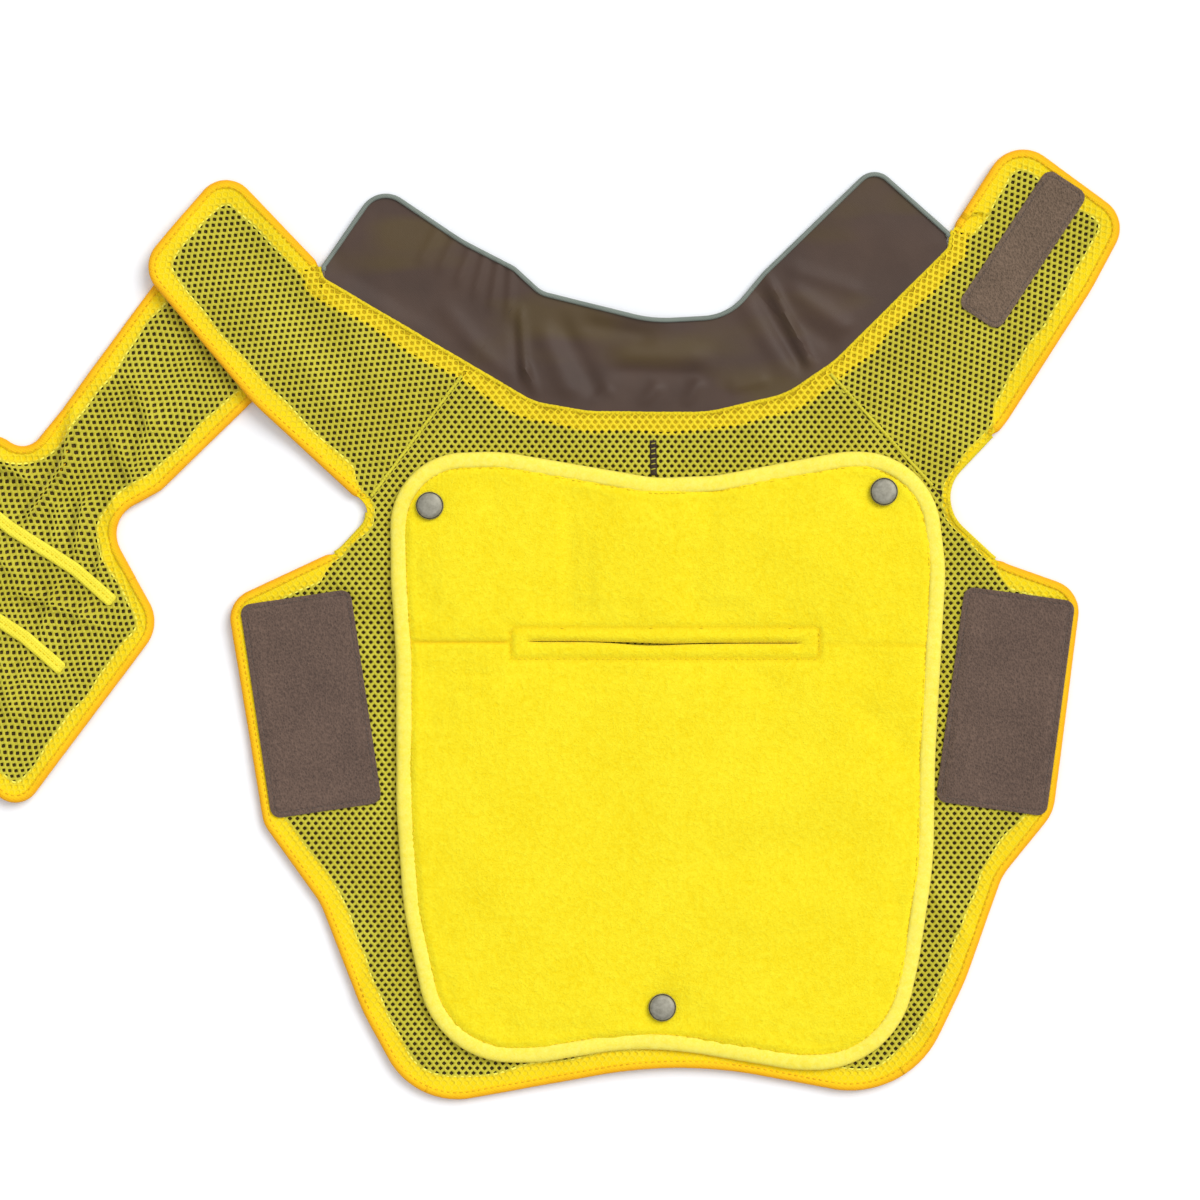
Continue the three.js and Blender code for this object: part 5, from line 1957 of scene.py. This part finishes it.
    def _threads(self, x: Array, y: Array, top: Array) -> None:
        """Yellow stitches in the sewn lines of the edge and the slot."""
        tree = KDTree(len(x))
        for i, (px, py) in enumerate(zip(x, y)):
            tree.insert((px, py, 0), i)
        tree.balance()

        def row(loop: Array, lift: float, length: float, radius: float) -> Piece:
            """One closed row of stitches."""
            ahead = unit(np.roll(loop, -1, axis=0) - loop)
            height = np.array([top[tree.find((p[0], p[1], 0))[1]] for p in loop]) + lift
            return stitches("row", loop, ahead, height, length, radius)

        w, h = self.slot_half
        box = Outline(((-w, -h, 1.5), (w, -h, 1.5), (w, h, 1.5), (-w, h, 1.5))).path(2.5) + np.array(self.slot_middle)
        rows = [row(box, 0.02, 1.7, 0.2), row(LINER.inset(self.edge_width + 0.35).path(2.5), 0.02, 1.8, 0.2)]
        threads = join("liner_stitches", rows)
        finish_piece(threads, Finish.LINER_THREAD, (), "fleece_liner")


LINER_EDGE = EdgeField(LINER)


@dataclass
class Snap:
    """A domed snap cap with a rolled rim."""

    site: str
    radius: float = 6.25
    height: float = 2.3
    base: float = 8.9

    def build(self) -> None:
        """Shapes the cap from a cylinder and dresses the hidden halves of the snap."""
        low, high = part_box(f"snap_cap_{self.site}")
        centre = (low + high) / 2
        deselect()
        bpy.ops.mesh.primitive_cylinder_add(vertices=64, radius=self.radius * MM, depth=0.9 * MM,
                                            location=(0, 0, 0.45 * MM))
        cap = bpy.context.object
        cap.name = f"snap_cap_{self.site}_dome"
        bpy.ops.object.mode_set(mode="EDIT")
        bpy.ops.mesh.select_all(action="DESELECT")
        bpy.ops.object.mode_set(mode="OBJECT")
        for p in cap.data.polygons:
            p.select = p.normal.z > 0.9
        bpy.ops.object.mode_set(mode="EDIT")
        bpy.ops.mesh.bevel(offset=0.4 * MM, segments=3)
        bpy.ops.object.mode_set(mode="OBJECT")
        for p in cap.data.polygons:
            p.select = p.normal.z > 0.99 and p.center.z > 0.8 * MM
        bpy.ops.object.mode_set(mode="EDIT")
        bpy.ops.mesh.inset(thickness=0.55 * MM, depth=-0.12 * MM)
        for inset, rise in ((0.7, 0.5), (1.0, 0.42), (1.2, 0.28), (1.2, 0.14)):
            bpy.ops.mesh.inset(thickness=inset * MM, depth=rise * MM)
        bpy.ops.object.mode_set(mode="OBJECT")
        bpy.ops.object.shade_smooth_by_angle(angle=math.radians(50))
        cap.location = (centre.x, centre.y, self.base * MM)
        bpy.ops.object.transform_apply(location=True, rotation=True, scale=True)
        WARDROBE.dress(cap, Finish.METAL)
        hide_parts(f"snap_cap_{self.site}")
        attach(cap, "fleece_liner")
        for half in ("stud", "socket"):
            WARDROBE.dress(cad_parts[f"snap_{half}_{self.site}"], Finish.METAL)


# --------------------------------------------------------------------------- studio


@dataclass
class Studio:
    """A pale table, soft light and a camera straight above."""

    air: float = 0.57
    sun_power: float = 1.95
    sun_spread: float = 36.0
    sun_heading: Triple = (-0.62, -0.56, -1.0)
    lamp_place: Triple = (0.0, 0.1, 2.4)
    lamp_aim: Triple = (0.0, 0.02, 0.0)
    lamp_size: float = 1.6
    lamp_power: float = 9.5
    camera_place: Triple = (-0.02565, 0.063, 2.4)
    sensor: float = 36.0
    view_width: float = 0.54

    def build(self) -> None:
        """Makes the floor, the lights and the camera."""
        scene = bpy.context.scene
        scene.view_settings.view_transform = "Standard"
        self._floor()
        world = bpy.data.worlds.new("studio_air")
        world.use_nodes = True
        world.node_tree.nodes["Background"].inputs[0].default_value = (0.93, 0.96, 1.0, 1)
        world.node_tree.nodes["Background"].inputs[1].default_value = self.air
        scene.world = world
        sun = self._lamp("window", "SUN", self.sun_power, Vector(self.sun_heading))
        sun.data.angle = math.radians(self.sun_spread)
        top = self._lamp("top", "AREA", self.lamp_power, Vector(self.lamp_aim) - Vector(self.lamp_place))
        top.data.size = self.lamp_size
        top.location = self.lamp_place
        data = bpy.data.cameras.new("camera")
        data.sensor_width = self.sensor
        data.lens = self.sensor * self.camera_place[2] / self.view_width
        data.clip_end = 20
        camera = bpy.data.objects.new("camera", data)
        camera.location = self.camera_place
        scene.collection.objects.link(camera)
        scene.camera = camera

    @staticmethod
    def _floor() -> None:
        """A sheet of pale paper, just under the coat."""
        deselect()
        bpy.ops.mesh.primitive_plane_add(size=6, location=(0, 0, -0.0004))
        floor = bpy.context.object
        floor.name = "studio_floor"
        b = Bench("floor_paper", False)
        b.colour(b.ramp(b.noise(3, 2), [(0.3, (0.93, 0.935, 0.95)), (0.7, (0.94, 0.945, 0.96))]))
        b.surface(0.9, 0.1)
        floor.data.materials.append(b.material)

    @staticmethod
    def _lamp(name: str, kind: str, power: float, heading: Vector) -> Piece:
        """A lamp of some kind that shines along a heading."""
        data = bpy.data.lights.new(name, kind)
        data.energy = power
        lamp = bpy.data.objects.new(name, data)
        lamp.rotation_euler = heading.to_track_quat("-Z", "Y").to_euler()
        bpy.context.scene.collection.objects.link(lamp)
        return lamp


def main() -> None:
    """Builds the coat, piece by piece."""
    logging.basicConfig(level=logging.INFO, format="%(name)s: %(message)s")
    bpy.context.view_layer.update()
    Studio().build()
    Coat().build()
    Belly().build()
    Collar().build()
    Trim().build()
    FleeceLiner().build()
    for site in ("left", "right", "lower"):
        Snap(site).build()


if __name__ == "__main__":
    main()
